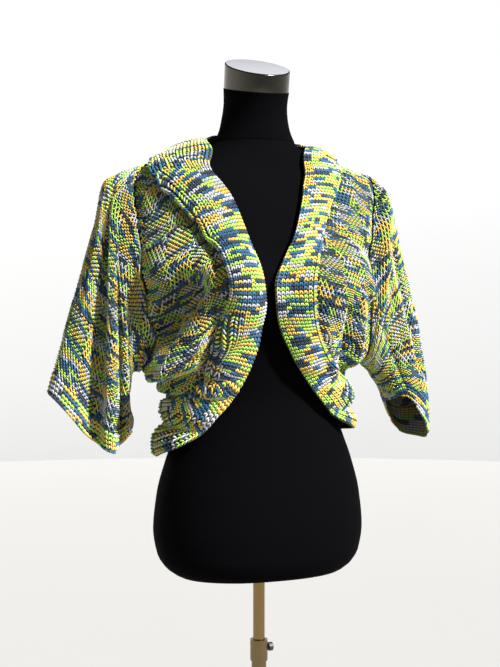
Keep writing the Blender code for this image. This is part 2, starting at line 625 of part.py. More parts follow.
def build_stand(chrome, steel, knob):
    top = BASE_THICKNESS
    make_turned(
        "base_plate",
        (
            (BASE_RADIUS - BASE_EDGE, 0.0),
            (BASE_RADIUS, BASE_EDGE),
            (BASE_RADIUS, top - BASE_EDGE),
            (BASE_RADIUS - BASE_EDGE, top),
            (SOCKET_RADIUS + 0.006, top + 0.002),
            (SOCKET_RADIUS, top + 0.006),
            (SOCKET_RADIUS - 0.002, top + SOCKET_HEIGHT),
            (LOWER_TUBE_RADIUS, top + SOCKET_HEIGHT),
        ),
        chrome,
    )
    foot = top + SOCKET_HEIGHT + TOUCH_GAP
    tube = make_tube("lower_tube", LOWER_TUBE_BORE, LOWER_TUBE_RADIUS, foot, LOWER_TUBE_TOP, steel)
    inner, low = LOWER_TUBE_RADIUS + TOUCH_GAP, COLLAR_TOP - COLLAR_HEIGHT
    collar = make_tube("clamp_collar", inner, COLLAR_RADIUS, low, COLLAR_TOP, steel)
    for drilled in (tube, collar):
        drill(drilled, SCREW_RADIUS + SCREW_CLEARANCE)
    pole = FORM[0][0] - TOUCH_GAP
    edge = UPPER_POLE_EDGE
    make_turned(
        "upper_pole",
        (
            (UPPER_POLE_RADIUS - edge, UPPER_POLE_FOOT),
            (UPPER_POLE_RADIUS, UPPER_POLE_FOOT + edge),
            (UPPER_POLE_RADIUS, pole),
        ),
        chrome,
    )
    build_screw(knob)


def drill(drilled, radius):
    """Bore the clamp screw's hole, along +X from the tube's axis."""
    turns = np.linspace(0.0, 2 * np.pi, SCREW_STEPS, endpoint=False)
    y, z = radius * np.cos(turns), SCREW_HEIGHT + radius * np.sin(turns)
    rings = [np.stack([np.full(SCREW_STEPS, x), y, z], axis=1) for x in (0.001, 0.040)]
    cutter = make_lofted(drilled.name + "_cutter", rings, drilled.data.materials[0])
    cutter.hide_render = True
    cutter.display_type = "WIRE"
    cut = drilled.modifiers.new("bore", "BOOLEAN")
    cut.operation = "DIFFERENCE"
    cut.solver = "EXACT"
    cut.object = cutter


def build_screw(knob):
    """The clamp screw: a shank through the collar and the tube, and a round knob."""
    tip = UPPER_POLE_RADIUS + SCREW_CLEARANCE
    head = COLLAR_RADIUS + SCREW_STAND_OFF
    edge = 0.0008
    profile = (
        (SCREW_RADIUS - edge, tip),
        (SCREW_RADIUS, tip + edge),
        (SCREW_RADIUS, head),
        (SCREW_KNOB_RADIUS - edge, head + edge / 4),
        (SCREW_KNOB_RADIUS, head + edge),
        (SCREW_KNOB_RADIUS, head + SCREW_KNOB_LENGTH - edge),
        (SCREW_KNOB_RADIUS - edge, head + SCREW_KNOB_LENGTH),
    )
    screw = make_turned("clamp_screw", profile, knob, steps=SCREW_STEPS)
    for vertex in screw.data.vertices:
        x, y, z = vertex.co
        vertex.co = (z, y, -x)
    screw.location = (0.0, 0.0, SCREW_HEIGHT)


def build_form(jersey):
    heights = [row[0] for row in FORM]
    between = [(a + b) / 2 for a, b in zip(heights[5:13], heights[6:14])]
    heights = sorted(heights + between)
    angles = np.linspace(0.0, 360.0, FORM_STEPS, endpoint=False)
    rings = [form_point(angles, np.full(FORM_STEPS, z)) for z in heights]
    top = heights[-1]
    for ring in rings:
        share = max(0.0, (ring[0, 2] - NECK_SLANT_FROM) / (top - NECK_SLANT_FROM))
        slope = share * math.tan(math.radians(NECK_SLANT))
        ring[:, 2] += slope * (ring[:, 1] - FORM[-1][4])
    make_lofted("dress_form", rings, jersey)


def build_cap(chrome):
    """The chrome cap on the neck, a round drum between two slanted planes."""
    centre_y, top = FORM[-1][4], FORM[-1][0]
    turns = np.linspace(0.0, 2 * np.pi, ROUND_STEPS, endpoint=False)
    rings = []
    for radius, height, slant in (
        (CAP_RADIUS, TOUCH_GAP, NECK_SLANT),
        (CAP_RADIUS, CAP_HEIGHT - CAP_EDGE, CAP_SLANT),
        (CAP_RADIUS - CAP_EDGE, CAP_HEIGHT, CAP_SLANT),
    ):
        x, y = radius * np.cos(turns), radius * np.sin(turns)
        z = top + height + math.tan(math.radians(slant)) * y
        lean = CAP_LEAN * height / CAP_HEIGHT
        rings.append(np.stack([x, centre_y - lean + y, z], axis=1))
    make_lofted("neck_cap", rings, chrome)


def build_panels(knit):
    for side, name in ((RIGHT, "front_right"), (LEFT, "front_left")):
        angle, height = front_panel(side)
        make_wall(name, cloth_point(angle, height), cloth_normal(angle, height), knit)
    angle, height = back_panel()
    make_wall("back", cloth_point(angle, height), cloth_normal(angle, height), knit)


def hem_place(along, across):
    """Angle, height and lift of a point of the back hem band, across from its free edge."""
    columns = curve_through([(-row[0], row[0], *row[1:]) for row in HEM], along)
    angle, free_height, seam_height, free_lift, middle_lift, seam_lift = (
        columns[..., i] for i in range(6)
    )
    lift = free_lift + (seam_lift - free_lift) * across
    bow = 4 * across * (1 - across)
    lift = lift + (middle_lift - (free_lift + seam_lift) / 2) * bow
    return angle, free_height + (seam_height - free_height) * across, lift


def lifted(place):
    """Points and outward normals of a strip of cloth that lies on the body cloth."""
    angle, height, lift = place
    normals = cloth_normal(angle, height)
    return cloth_point(angle, height) + normals * lift[..., None], normals


def build_bands(rib):
    across = np.linspace(0.0, 1.0, BAND_ROWS)[:, None]
    for side, name in ((RIGHT, "band_right"), (LEFT, "band_left")):
        along = np.linspace(BAND_TRIM, 1.0 - BAND_TRIM, BAND_STEPS)[None, :]
        make_wall(name, *lifted(band_place(side, along, across)), rib)
    along = np.linspace(90.0 + SEAM_TURN, 270.0 - SEAM_TURN, HEM_STEPS)[None, :]
    make_wall("band_hem", *lifted(hem_place(along, across)), rib)


def sleeve_grid(side, station, trimmed_row, trim):
    """Points and outward normals of a sleeve's cloth at its marks round and at stations.

    One row, at the cuff's seam, is moved along the sleeve by half the seam's gap.
    """
    mark, station = sleeve_marks()[None, :], station[:, None]
    points = sleeve_point(side, mark, station)
    step = 0.004
    along = sleeve_point(side, mark + step, station) - sleeve_point(side, mark - step, station)
    ahead = sleeve_point(side, mark, station + step)
    down = ahead - sleeve_point(side, mark, np.maximum(station - step, 0.0))
    normals = unit_rows(np.cross(along, down)) * side
    points[trimmed_row] -= trim * unit_rows(down)[trimmed_row]
    return points, normals


def build_sleeves(knit, rib):
    rise = np.linspace(0.0, 1.0, SLEEVE_ROWS) ** SLEEVE_ROW_POWER
    cuff_rise = np.linspace(CUFF_FROM, CUFF_TO, CUFF_ROWS)
    for side, name in ((RIGHT, "right"), (LEFT, "left")):
        sleeve = sleeve_grid(side, rise * CUFF_FROM, -1, SEAM_GAP / 2)
        make_wall("sleeve_" + name, *sleeve, knit, closed=True)
        cuff = sleeve_grid(side, cuff_rise, 0, -SEAM_GAP / 2)
        make_wall("cuff_" + name, *cuff, rib, closed=True)


def main():
    for thing in list(bpy.data.objects):
        bpy.data.objects.remove(thing)
    materials = {name: make_material(name) for name in COLOURS}
    build_stand(materials["chrome"], materials["steel"], materials["knob"])
    build_form(materials["jersey"])
    build_cap(materials["chrome"])
    build_panels(materials["knit"])
    build_bands(materials["rib"])
    build_sleeves(materials["knit"], materials["rib"])


main()
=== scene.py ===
"""Looks of the knitted shrug cardigan on its dress form.

Units are metres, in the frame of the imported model: +Z up, the form faces -Y. Right and
left are the wearer's. The garment's surface is the one that the solids are made from.
Each piece of cloth is a thin shell inside its solid's wall, with stitches of yarn raised
on it, one by one, in wales and courses.
"""

import math

import bpy
import numpy as np
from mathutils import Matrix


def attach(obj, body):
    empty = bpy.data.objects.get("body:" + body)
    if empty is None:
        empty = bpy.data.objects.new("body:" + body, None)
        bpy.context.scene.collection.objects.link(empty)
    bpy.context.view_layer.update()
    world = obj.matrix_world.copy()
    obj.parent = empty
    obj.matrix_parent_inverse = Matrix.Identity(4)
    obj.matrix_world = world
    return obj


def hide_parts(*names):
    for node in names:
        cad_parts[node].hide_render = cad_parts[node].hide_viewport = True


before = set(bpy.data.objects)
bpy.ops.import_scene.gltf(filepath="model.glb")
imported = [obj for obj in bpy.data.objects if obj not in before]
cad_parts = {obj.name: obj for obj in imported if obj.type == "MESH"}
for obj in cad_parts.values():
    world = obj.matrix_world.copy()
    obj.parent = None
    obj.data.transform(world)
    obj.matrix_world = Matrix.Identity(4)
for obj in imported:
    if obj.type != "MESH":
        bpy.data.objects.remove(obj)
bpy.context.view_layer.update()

# Dress form: the skin's level sections, from the flat underside to the top of the neck.
# Columns: height, half width, depth in front, depth behind, centre y, squareness
FORM = (
    (0.715, 0.116, 0.072, 0.078, 0.000, 0.88),
    (0.719, 0.134, 0.088, 0.094, 0.000, 0.88),
    (0.732, 0.153, 0.100, 0.108, 0.000, 0.88),
    (0.752, 0.165, 0.108, 0.120, 0.000, 0.88),
    (0.790, 0.171, 0.110, 0.126, 0.000, 0.88),
    (0.845, 0.166, 0.106, 0.118, 0.000, 0.88),
    (0.900, 0.152, 0.098, 0.102, 0.000, 0.88),
    (0.950, 0.134, 0.091, 0.088, 0.000, 0.88),
    (1.000, 0.122, 0.086, 0.080, 0.000, 0.88),
    (1.050, 0.126, 0.092, 0.080, 0.000, 0.88),
    (1.110, 0.137, 0.106, 0.086, 0.000, 0.88),
    (1.180, 0.147, 0.116, 0.095, 0.000, 0.88),
    (1.240, 0.156, 0.108, 0.101, 0.000, 0.88),
    (1.290, 0.170, 0.090, 0.099, 0.002, 0.88),
    (1.320, 0.182, 0.075, 0.090, 0.003, 0.88),
    (1.337, 0.184, 0.065, 0.080, 0.004, 0.88),
    (1.350, 0.173, 0.058, 0.072, 0.006, 0.88),
    (1.360, 0.154, 0.055, 0.066, 0.010, 0.88),
    (1.370, 0.130, 0.054, 0.061, 0.013, 0.90),
    (1.380, 0.106, 0.054, 0.058, 0.016, 0.92),
    (1.390, 0.085, 0.054, 0.056, 0.019, 0.95),
    (1.402, 0.069, 0.053, 0.054, 0.021, 0.98),
    (1.430, 0.056, 0.052, 0.052, 0.021, 1.00),
    (1.465, 0.051, 0.051, 0.051, 0.017, 1.00),
    (1.488, 0.0525, 0.0525, 0.0525, 0.013, 1.00),
)
BUST_X, BUST_HEIGHT, BUST_OUT, BUST_SPREAD, BUST_EDGE = 0.072, 1.175, 0.030, 0.052, 0.35
NECK_SLANT_FROM, NECK_SLANT = 1.430, 12.0
CAP_RADIUS, CAP_HEIGHT, CAP_LEAN, CAP_SLANT = 0.0520, 0.0365, 0.0055, 21.0

# Panels stop SEAM_TURN degrees short of the side seams and go SEAM_TUCK under a band, and
# no cloth lies nearer to the form than LEAST_EASE
SEAM_TURN, SEAM_TUCK, LEAST_EASE = 0.06, 0.012, 0.0045

# How far the body cloth stands off the form, by height, at the front, the right side,
# the back and the left side. Where it stands off further than SAG_FROM, it also sags.
EASE = (
    (0.895, 0.0055, 0.0160, 0.0060, 0.0080),
    (0.930, 0.0060, 0.0270, 0.0080, 0.0090),
    (0.953, 0.0065, 0.0120, 0.0070, 0.0240),
    (0.975, 0.0075, 0.0270, 0.0110, 0.0120),
    (0.998, 0.0090, 0.0280, 0.0150, 0.0260),
    (1.010, 0.0100, 0.0260, 0.0150, 0.0230),
    (1.026, 0.0110, 0.0400, 0.0200, 0.0130),
    (1.042, 0.0120, 0.0330, 0.0280, 0.0140),
    (1.060, 0.0130, 0.0540, 0.0340, 0.0340),
    (1.085, 0.0120, 0.0640, 0.0350, 0.0450),
    (1.120, 0.0100, 0.0600, 0.0290, 0.0430),
    (1.180, 0.0090, 0.0560, 0.0200, 0.0370),
    (1.240, 0.0080, 0.0540, 0.0140, 0.0300),
    (1.290, 0.0070, 0.0440, 0.0100, 0.0180),
    (1.325, 0.0065, 0.0260, 0.0080, 0.0100),
    (1.345, 0.0060, 0.0160, 0.0070, 0.0080),
    (1.370, 0.0055, 0.0100, 0.0060, 0.0060),
    (1.410, 0.0050, 0.0060, 0.0055, 0.0050),
)
SIDE_FALLOFF, EASE_SOFTNESS = 2.4, 0.004
REST_HEIGHT, REST_SPREAD, REST_DEPTH = 1.3590, 0.014, 0.0046
SAG_FROM, SAG_SHARE = 0.022, 0.35

# Body folds: each runs straight from one point to another on the surface.
# Columns: angle and height of its start, angle and height of its end, half width, rise
FOLDS = (
    (-66.0, 1.130, -54.0, 1.168, 0.016, -0.036),
    (-74.0, 1.066, -46.0, 1.112, 0.022, 0.020),
    (-41.0, 1.125, -49.0, 1.050, 0.010, -0.012),
    (-66.0, 1.262, -48.0, 1.270, 0.010, -0.006),
    (-60.0, 1.212, -44.0, 1.205, 0.024, 0.010),
    (24.0, 1.110, 32.0, 1.066, 0.012, 0.008),
    (42.0, 1.130, 44.0, 1.068, 0.012, -0.009),
    (53.0, 1.120, 55.0, 1.075, 0.014, 0.008),
    (66.0, 1.230, 66.0, 1.080, 0.012, -0.010),
    (36.0, 1.225, 58.0, 1.180, 0.018, 0.007),
    (-150.0, 1.100, 165.0, 1.070, 0.022, 0.014),
    (-120.0, 1.180, -165.0, 1.110, 0.018, -0.010),
    (120.0, 1.190, 165.0, 1.120, 0.018, -0.010),
    (-130.0, 1.035, 170.0, 1.020, 0.012, -0.010),
    (115.0, 1.045, 160.0, 1.025, 0.012, -0.010),
)
FOLD_ARC, FOLD_END = 0.150, 2.0

# Small creases of the body cloth, in the same columns
CREASES = (
    (-81.0, 1.098, -72.0, 1.138, 0.010, -0.0160),
    (-72.0, 1.140, -59.0, 1.184, 0.010, -0.0180),
    (-62.0, 1.088, -45.0, 1.130, 0.011, 0.0110),
    (-37.0, 1.138, -49.0, 1.066, 0.007, -0.0110),
    (-74.0, 1.052, -54.0, 1.062, 0.006, -0.0090),
    (39.0, 1.140, 43.0, 1.070, 0.006, -0.0100),
    (57.0, 1.160, 59.0, 1.082, 0.006, -0.0100),
    (49.0, 1.120, 50.5, 1.080, 0.006, 0.0050),
    (-60.0, 1.318, -51.0, 1.284, 0.006, -0.0070),
    (-51.0, 1.284, -43.0, 1.240, 0.006, -0.0080),
    (-43.0, 1.240, -38.0, 1.206, 0.006, -0.0070),
    (-72.0, 1.205, -50.0, 1.185, 0.007, 0.0025),
    (-70.0, 1.168, -52.0, 1.150, 0.006, -0.0030),
    (-60.0, 1.250, -46.0, 1.232, 0.006, 0.0020),
    (-52.0, 1.105, -43.0, 1.078, 0.006, -0.0030),
    (-64.0, 1.040, -50.0, 1.058, 0.005, 0.0030),
    (40.0, 1.205, 60.0, 1.168, 0.007, 0.0030),
    (30.0, 1.160, 47.0, 1.135, 0.006, -0.0025),
    (48.0, 1.160, 51.0, 1.095, 0.005, 0.0030),
    (60.0, 1.160, 61.0, 1.090, 0.005, -0.0035),
    (35.0, 1.255, 58.0, 1.222, 0.007, -0.0020),
    (-140.0, 1.250, -166.0, 1.200, 0.008, 0.0030),
    (150.0, 1.235, 172.0, 1.172, 0.007, -0.0030),
    (-112.0, 1.125, -150.0, 1.062, 0.007, 0.0040),
    (118.0, 1.105, 152.0, 1.052, 0.006, 0.0040),
    (-176.0, 1.165, 170.0, 1.105, 0.007, -0.0030),
    (-125.0, 1.300, -150.0, 1.248, 0.008, 0.0020),
    (130.0, 1.305, 156.0, 1.240, 0.008, -0.0020),
    (-130.0, 1.205, -118.0, 1.120, 0.007, -0.0030),
)

# Armholes: the side openings of the body, between two heights, and how many degrees they
# reach round to the front and to the back
RIGHT, LEFT = -1.0, 1.0
ARMHOLES = {
    RIGHT: (1.350, 1.074, 13.0, 15.0),
    LEFT: (1.350, 1.070, 21.0, 17.0),
}

# Front bands: the free edge and the seam edge of the band, by angle and height, from the
# centre back of the neck down to the side seam, with how far each edge and the middle of
# the band stand off the body cloth. The right band is turned out like a lapel.
# Columns: free angle and height, seam angle and height, lifts of free edge, middle and seam
BANDS = {
    RIGHT: (
        (180.0, 1.418, 180.0, 1.352, 0.0015, 0.0090, 0.0060),
        (140.0, 1.418, 140.0, 1.356, 0.0015, 0.0100, 0.0060),
        (110.0, 1.406, 104.0, 1.360, 0.0020, 0.0140, 0.0090),
        (86.0, 1.396, 88.0, 1.356, 0.0020, 0.0150, 0.0120),
        (50.0, 1.380, 66.0, 1.336, 0.0020, 0.0150, 0.0140),
        (31.0, 1.350, 54.0, 1.312, 0.0020, 0.0150, 0.0140),
        (22.0, 1.308, 45.0, 1.278, 0.0020, 0.0150, 0.0140),
        (20.0, 1.262, 39.0, 1.242, 0.0020, 0.0150, 0.0130),
        (18.5, 1.214, 33.0, 1.206, 0.0020, 0.0140, 0.0120),
        (17.5, 1.178, 31.0, 1.178, 0.0020, 0.0130, 0.0100),
        (15.0, 1.142, 34.0, 1.150, 0.0020, 0.0120, 0.0090),
        (15.0, 1.104, 37.0, 1.122, 0.0020, 0.0120, 0.0095),
        (20.0, 1.056, 41.0, 1.086, 0.0020, 0.0120, 0.0095),
        (31.0, 1.008, 47.0, 1.048, 0.0020, 0.0120, 0.0095),
        (48.0, 0.958, 60.0, 1.018, 0.0020, 0.0110, 0.0085),
        (64.0, 0.924, 74.0, 1.000, 0.0020, 0.0090, 0.0085),
        (90.0, 0.904, 90.0, 0.992, 0.0020, 0.0070, 0.0085),
    ),
    LEFT: (
        (180.0, 1.418, 180.0, 1.352, 0.0015, 0.0090, 0.0060),
        (140.0, 1.416, 140.0, 1.356, 0.0015, 0.0090, 0.0060),
        (110.0, 1.402, 106.0, 1.362, 0.0015, 0.0080, 0.0060),
        (86.0, 1.394, 86.0, 1.372, 0.0015, 0.0080, 0.0060),
        (42.0, 1.386, 58.0, 1.368, 0.0015, 0.0080, 0.0060),
        (21.0, 1.366, 40.0, 1.358, 0.0015, 0.0080, 0.0060),
        (12.5, 1.334, 31.0, 1.330, 0.0015, 0.0080, 0.0060),
        (9.0, 1.296, 24.0, 1.296, 0.0015, 0.0080, 0.0060),
        (4.0, 1.252, 18.0, 1.252, 0.0015, 0.0090, 0.0060),
        (-3.0, 1.212, 14.0, 1.212, 0.0015, 0.0090, 0.0060),
        (-10.0, 1.176, 12.0, 1.178, 0.0015, 0.0090, 0.0060),
        (-7.5, 1.146, 13.0, 1.150, 0.0015, 0.0090, 0.0060),
        (-2.0, 1.106, 17.0, 1.116, 0.0015, 0.0090, 0.0060),
        (7.0, 1.060, 26.0, 1.078, 0.0015, 0.0090, 0.0060),
        (27.0, 1.004, 44.0, 1.042, 0.0015, 0.0090, 0.0060),
        (47.0, 0.962, 64.0, 1.026, 0.0015, 0.0080, 0.0060),
        (70.0, 0.943, 78.0, 1.019, 0.0015, 0.0070, 0.0060),
        (90.0, 0.937, 90.0, 1.016, 0.0020, 0.0070, 0.0085),
    ),
}
FRONT_SEAM_ROW, FRONT_END = 3, 0.93
BAND_TRIM, HEM_TRIM, BAND_WIDTH = 0.0003, 0.0004, 0.070

# Hem band across the back, from the right side seam to the left one.
# Columns: angle, heights of free edge and seam, lifts of free edge, middle and seam
HEM = (
    (-90.0, 0.904, 0.992, 0.0020, 0.0070, 0.0085),
    (-115.0, 0.905, 0.985, 0.0020, 0.0080, 0.0075),
    (-145.0, 0.909, 0.980, 0.0020, 0.0090, 0.0060),
    (-180.0, 0.914, 0.983, 0.0020, 0.0090, 0.0060),
    (-215.0, 0.922, 0.992, 0.0020, 0.0090, 0.0060),
    (-245.0, 0.931, 1.005, 0.0020, 0.0080, 0.0080),
    (-270.0, 0.937, 1.016, 0.0020, 0.0070, 0.0085),
)

# Sleeves hang empty. Each ring runs from an outer point, over the front, to an inner
# point and home over the back. Ring 0 is the armhole itself, and the cuff lies between
# the last two rings. Two strips run down the front, with a groove outside the first and
# a pleat between them. Columns: outer x and z, inner x and z, centre y, depths in front
# and behind, drops in front and behind, where the first strip lies, strip, groove, pleat
SLEEVES = {
    RIGHT: (
        (0.216, 1.354, 0.208, 1.050, 0.006, 0.042, 0.047, 0.0, 0.0, 0.090, 0.0, 0.0, 0.0),
        (0.247, 1.336, 0.210, 1.042, 0.008, 0.038, 0.048, 0.0, 0.0, 0.110, 0.003, 0.000, 0.003),
        (0.262, 1.272, 0.212, 1.032, 0.010, 0.036, 0.048, 0.0, 0.0, 0.160, 0.009, 0.003, 0.008),
        (0.279, 1.212, 0.212, 1.020, 0.012, 0.034, 0.046, 0.004, 0.0, 0.224, 0.014, 0.008, 0.011),
        (0.297, 1.150, 0.213, 1.008, 0.014, 0.031, 0.044, 0.014, 0.0, 0.266, 0.016, 0.012, 0.012),
        (0.313, 1.094, 0.212, 0.996, 0.015, 0.029, 0.042, 0.032, 0.0, 0.290, 0.018, 0.013, 0.014),
        (0.327, 1.045, 0.210, 0.984, 0.016, 0.027, 0.040, 0.052, 0.0, 0.300, 0.018, 0.012, 0.014),
        (0.336, 1.013, 0.206, 0.972, 0.016, 0.026, 0.038, 0.063, 0.0, 0.302, 0.016, 0.010, 0.012),
    ),
    LEFT: (
        (0.212, 1.350, 0.182, 1.052, 0.004, 0.058, 0.050, 0.0, 0.0, 0.25, 0.0, 0.0, 0.0),
        (0.226, 1.312, 0.188, 1.046, 0.006, 0.052, 0.056, 0.0, 0.0, 0.25, 0.0, 0.004, 0.0),
        (0.242, 1.252, 0.196, 1.040, 0.008, 0.045, 0.058, 0.0, 0.0, 0.25, 0.0, 0.005, 0.0),
        (0.261, 1.192, 0.205, 1.033, 0.010, 0.041, 0.058, 0.0, 0.0, 0.25, 0.0, 0.005, 0.0),
        (0.280, 1.122, 0.214, 1.022, 0.012, 0.038, 0.058, -0.004, 0.004, 0.25, 0.0, 0.004, 0.0),
        (0.295, 1.050, 0.223, 1.012, 0.014, 0.036, 0.054, -0.012, 0.010, 0.25, 0.0, 0.003, 0.0),
        (0.304, 0.975, 0.232, 0.998, 0.014, 0.034, 0.048, -0.022, 0.016, 0.25, 0.0, 0.0, 0.0),
        (0.305, 0.920, 0.240, 0.984, 0.014, 0.032, 0.042, -0.026, 0.020, 0.25, 0.0, 0.0, 0.0),
    ),
}
SLEEVE_ROUNDNESS = 0.80
FRONT_DROP_AT, DROP_OUTWARD, DROP_INWARD = 0.31, 0.17, 0.11
BACK_DROP_AT, BACK_DROP_SPREAD = 0.76, 0.13
STRIP_COLUMN, STRIP_MARK, STRIP_SPREAD = 9, 0.25, 0.036
SECOND_STRIP_AFTER, SECOND_STRIP_SHARE, SECOND_STRIP_SPREAD = 0.125, 0.7, 0.040
GROOVE_BEFORE, GROOVE_SPREAD = 0.064, 0.028
PLEAT_AFTER, PLEAT_SPREAD = 0.062, 0.026
ROLL_OUT = {RIGHT: 0.0, LEFT: 0.014}
ROLL_AT, ROLL_SPREAD = 0.50, 0.28
ARMHOLE_LAP, ARMHOLE_LAP_TURN = 0.0015, 0.5
ARMHOLE_LIFT = {RIGHT: 0.0050, LEFT: 0.0043}
CUFF_FROM, CUFF_TO = 6.0, 7.0

# Small creases along the sleeves. Columns: mark, first and last station, half width, rise
SLEEVE_CREASES = {
    RIGHT: (
        (0.21, 0.8, 6.5, 0.016, -0.0075),
        (0.29, 1.2, 6.0, 0.026, 0.0045),
        (0.43, 1.2, 4.8, 0.018, -0.0030),
        (0.10, 1.5, 5.5, 0.020, 0.0025),
        (0.63, 1.0, 4.0, 0.024, 0.0045),
        (0.72, 1.8, 5.6, 0.020, -0.0040),
        (0.86, 2.2, 5.0, 0.022, 0.0030),
    ),
    LEFT: (
        (0.22, 1.2, 4.2, 0.020, 0.0030),
        (0.33, 1.8, 5.4, 0.016, -0.0035),
        (0.11, 2.4, 5.6, 0.018, -0.0020),
        (0.64, 1.0, 4.2, 0.024, 0.0045),
        (0.76, 2.0, 5.4, 0.020, -0.0040),
    ),
}
SLEEVE_CREASE_END = 0.6


def curve_through(rows, at):
    """All columns of a table, on a smooth curve through its rows that never overshoots.

    The first column is the place of each row, in rising order.
    """
    table = np.array(rows, float)
    place, values = table[:, 0], table[:, 1:]
    step = np.diff(place)[:, None]
    slope = np.diff(values, axis=0) / step
    same_way = slope[1:] * slope[:-1] > 0
    total = slope[1:] + slope[:-1]
    mean = np.where(same_way, 2 * slope[1:] * slope[:-1] / np.where(total == 0, 1, total), 0)
    tangent = np.concatenate([slope[:1], mean, slope[-1:]])
    at = np.clip(np.asarray(at, float), place[0], place[-1])
    index = np.clip(np.searchsorted(place, at, side="right") - 1, 0, len(place) - 2)
    width = step[index, 0]
    t = ((at - place[index]) / width)[..., None]
    width = width[..., None]
    found = values[index] * (1 + 2 * t) * (1 - t) ** 2
    found = found + values[index + 1] * t * t * (3 - 2 * t)
    found = found + tangent[index] * width * t * (1 - t) ** 2
    return found - tangent[index + 1] * width * t * t * (1 - t)


def columns_of(rows, at):
    """Each column after a table's first, on the same curve."""
    return np.moveaxis(curve_through(rows, at), -1, 0)


def numbered(rows, marks):
    """A table's rows with a mark before each."""
    return [(mark, *row) for mark, row in zip(marks, rows)]


def signed_power(value, exponent):
    return np.sign(value) * np.abs(value) ** exponent


def smooth_step(t):
    t = np.clip(t, 0.0, 1.0)
    return t * t * (3 - 2 * t)


def form_point(angle, height):
    """A point of the form's skin. Angles are in degrees from the centre front."""
    angle, height = np.broadcast_arrays(np.radians(angle), height)
    half_width, front, back, centre, squareness = columns_of(FORM, height)
    across, ahead = np.sin(angle), np.cos(angle)
    depth = np.where(ahead > 0, front, back)
    x = half_width * signed_power(across, squareness)
    y = centre - depth * signed_power(ahead, squareness)
    bust = np.exp(-((np.abs(x) - BUST_X) ** 2 + (height - BUST_HEIGHT) ** 2) / BUST_SPREAD**2)
    y = y - BUST_OUT * bust * smooth_step(ahead / BUST_EDGE)
    return np.stack([x, y, height], axis=-1)


def surface_normal(surface, angle, height):
    """Unit normal, pointing away from the form, of a surface given by angle and height."""
    turn, rise = 0.6, 0.0012
    along = surface(angle + turn, height) - surface(angle - turn, height)
    up = surface(angle, height + rise) - surface(angle, height - rise)
    normal = np.cross(along, up)
    return normal / np.linalg.norm(normal, axis=-1, keepdims=True)


def fold_height(angle, height):
    """How far all the folds together raise or sink the cloth."""
    total = np.zeros(np.broadcast(angle, height).shape)
    for angle_1, height_1, angle_2, height_2, half_width, rise in FOLDS + CREASES:
        turn_2 = (angle_2 - angle_1 + 180.0) % 360.0 - 180.0
        turn = (angle - angle_1 + 180.0) % 360.0 - 180.0
        end = np.array([math.radians(turn_2) * FOLD_ARC, height_2 - height_1])
        length = math.hypot(*end)
        direction = end / length
        x, z = np.radians(turn) * FOLD_ARC, height - height_1
        along = x * direction[0] + z * direction[1]
        aside = z * direction[0] - x * direction[1]
        beyond = np.maximum(0.0, np.maximum(-along, along - length))
        distance = np.hypot(aside / half_width, beyond / (FOLD_END * half_width))
        total = total + rise * np.exp(-distance * distance)
    return total


def ease_at(angle, height):
    """How far the middle of the body cloth stands off the form. It rests on the shoulders."""
    front, right, back, left = columns_of(EASE, height)
    across, ahead = np.sin(np.radians(angle)), np.cos(np.radians(angle))
    side = np.where(across < 0, right, left)
    face = np.where(ahead > 0, front, back)
    plain = face + (side - face) * np.abs(across) ** SIDE_FALLOFF
    folded = plain + fold_height(angle, height)
    excess = folded - LEAST_EASE
    soft = np.sqrt(excess * excess + EASE_SOFTNESS * EASE_SOFTNESS)
    ease = LEAST_EASE + 0.5 * (excess + soft)
    rest = np.exp(-(((height - REST_HEIGHT) / REST_SPREAD) ** 2)) * across * across
    return ease - REST_DEPTH * rest


def cloth_point(angle, height):
    """The middle of the body cloth."""
    angle, height = np.broadcast_arrays(np.asarray(angle, float), np.asarray(height, float))
    skin = form_point(angle, height)
    outward = surface_normal(form_point, angle, height)
    ease = ease_at(angle, height)
    cloth = skin + outward * ease[..., None]
    cloth[..., 2] -= SAG_SHARE * np.maximum(0.0, ease - SAG_FROM)
    return cloth


def cloth_normal(angle, height):
    return surface_normal(cloth_point, angle, height)


def armhole_angle(side, height, back=False):
    """How far round from the side line, in degrees, the armhole reaches at a height."""
    top, bottom, front_angle, back_angle = ARMHOLES[side]
    middle, half = (top + bottom) / 2, (top - bottom) / 2
    share = np.clip((height - middle) / half, -1.0, 1.0)
    return (back_angle if back else front_angle) * np.sqrt(1.0 - share * share)


def share_around(mark, strip_at):
    """Where a mark lies round a ring, so that the first strip is always at STRIP_MARK."""
    before = mark * strip_at / STRIP_MARK
    after = strip_at + (mark - STRIP_MARK) * (1 - strip_at) / (1 - STRIP_MARK)
    return np.where(mark < STRIP_MARK, before, after)


def bowed_lift(free, middle, seam, across):
    """How far a band stands off the body cloth, between its free edge and its seam."""
    bow = 4 * across * (1 - across)
    return free + (seam - free) * across + (middle - (free + seam) / 2) * bow


def band_place(side, along, across):
    """Angle, height and lift of a point of a front band. Across runs from the free edge."""
    rows = BANDS[side]
    free_angle, free_height, seam_angle, seam_height, *lifts = columns_of(
        numbered(rows, np.linspace(0.0, 1.0, len(rows))), along
    )
    angle = side * (free_angle + (seam_angle - free_angle) * across)
    angle = np.clip(angle, -180.0 + SEAM_TURN, 180.0 - SEAM_TURN)
    height = free_height + (seam_height - free_height) * across
    return angle, height, bowed_lift(*lifts, across)


def unit_rows(vectors):
    return vectors / np.linalg.norm(vectors, axis=-1, keepdims=True)


def panel_inner_line(side, t):
    """The front panel's edge under the band: angles and heights from shoulder to hem."""
    rows = np.array(BANDS[side])[FRONT_SEAM_ROW:]
    tuck = SEAM_TUCK / BAND_WIDTH
    angle = rows[:, 2] + (rows[:, 0] - rows[:, 2]) * tuck
    height = rows[:, 3] + (rows[:, 1] - rows[:, 3]) * tuck
    angle[0], angle[-1] = 90.0, 90.0
    marks = np.linspace(0.0, 1.0, len(rows))
    return columns_of(list(zip(marks, angle, height)), t)


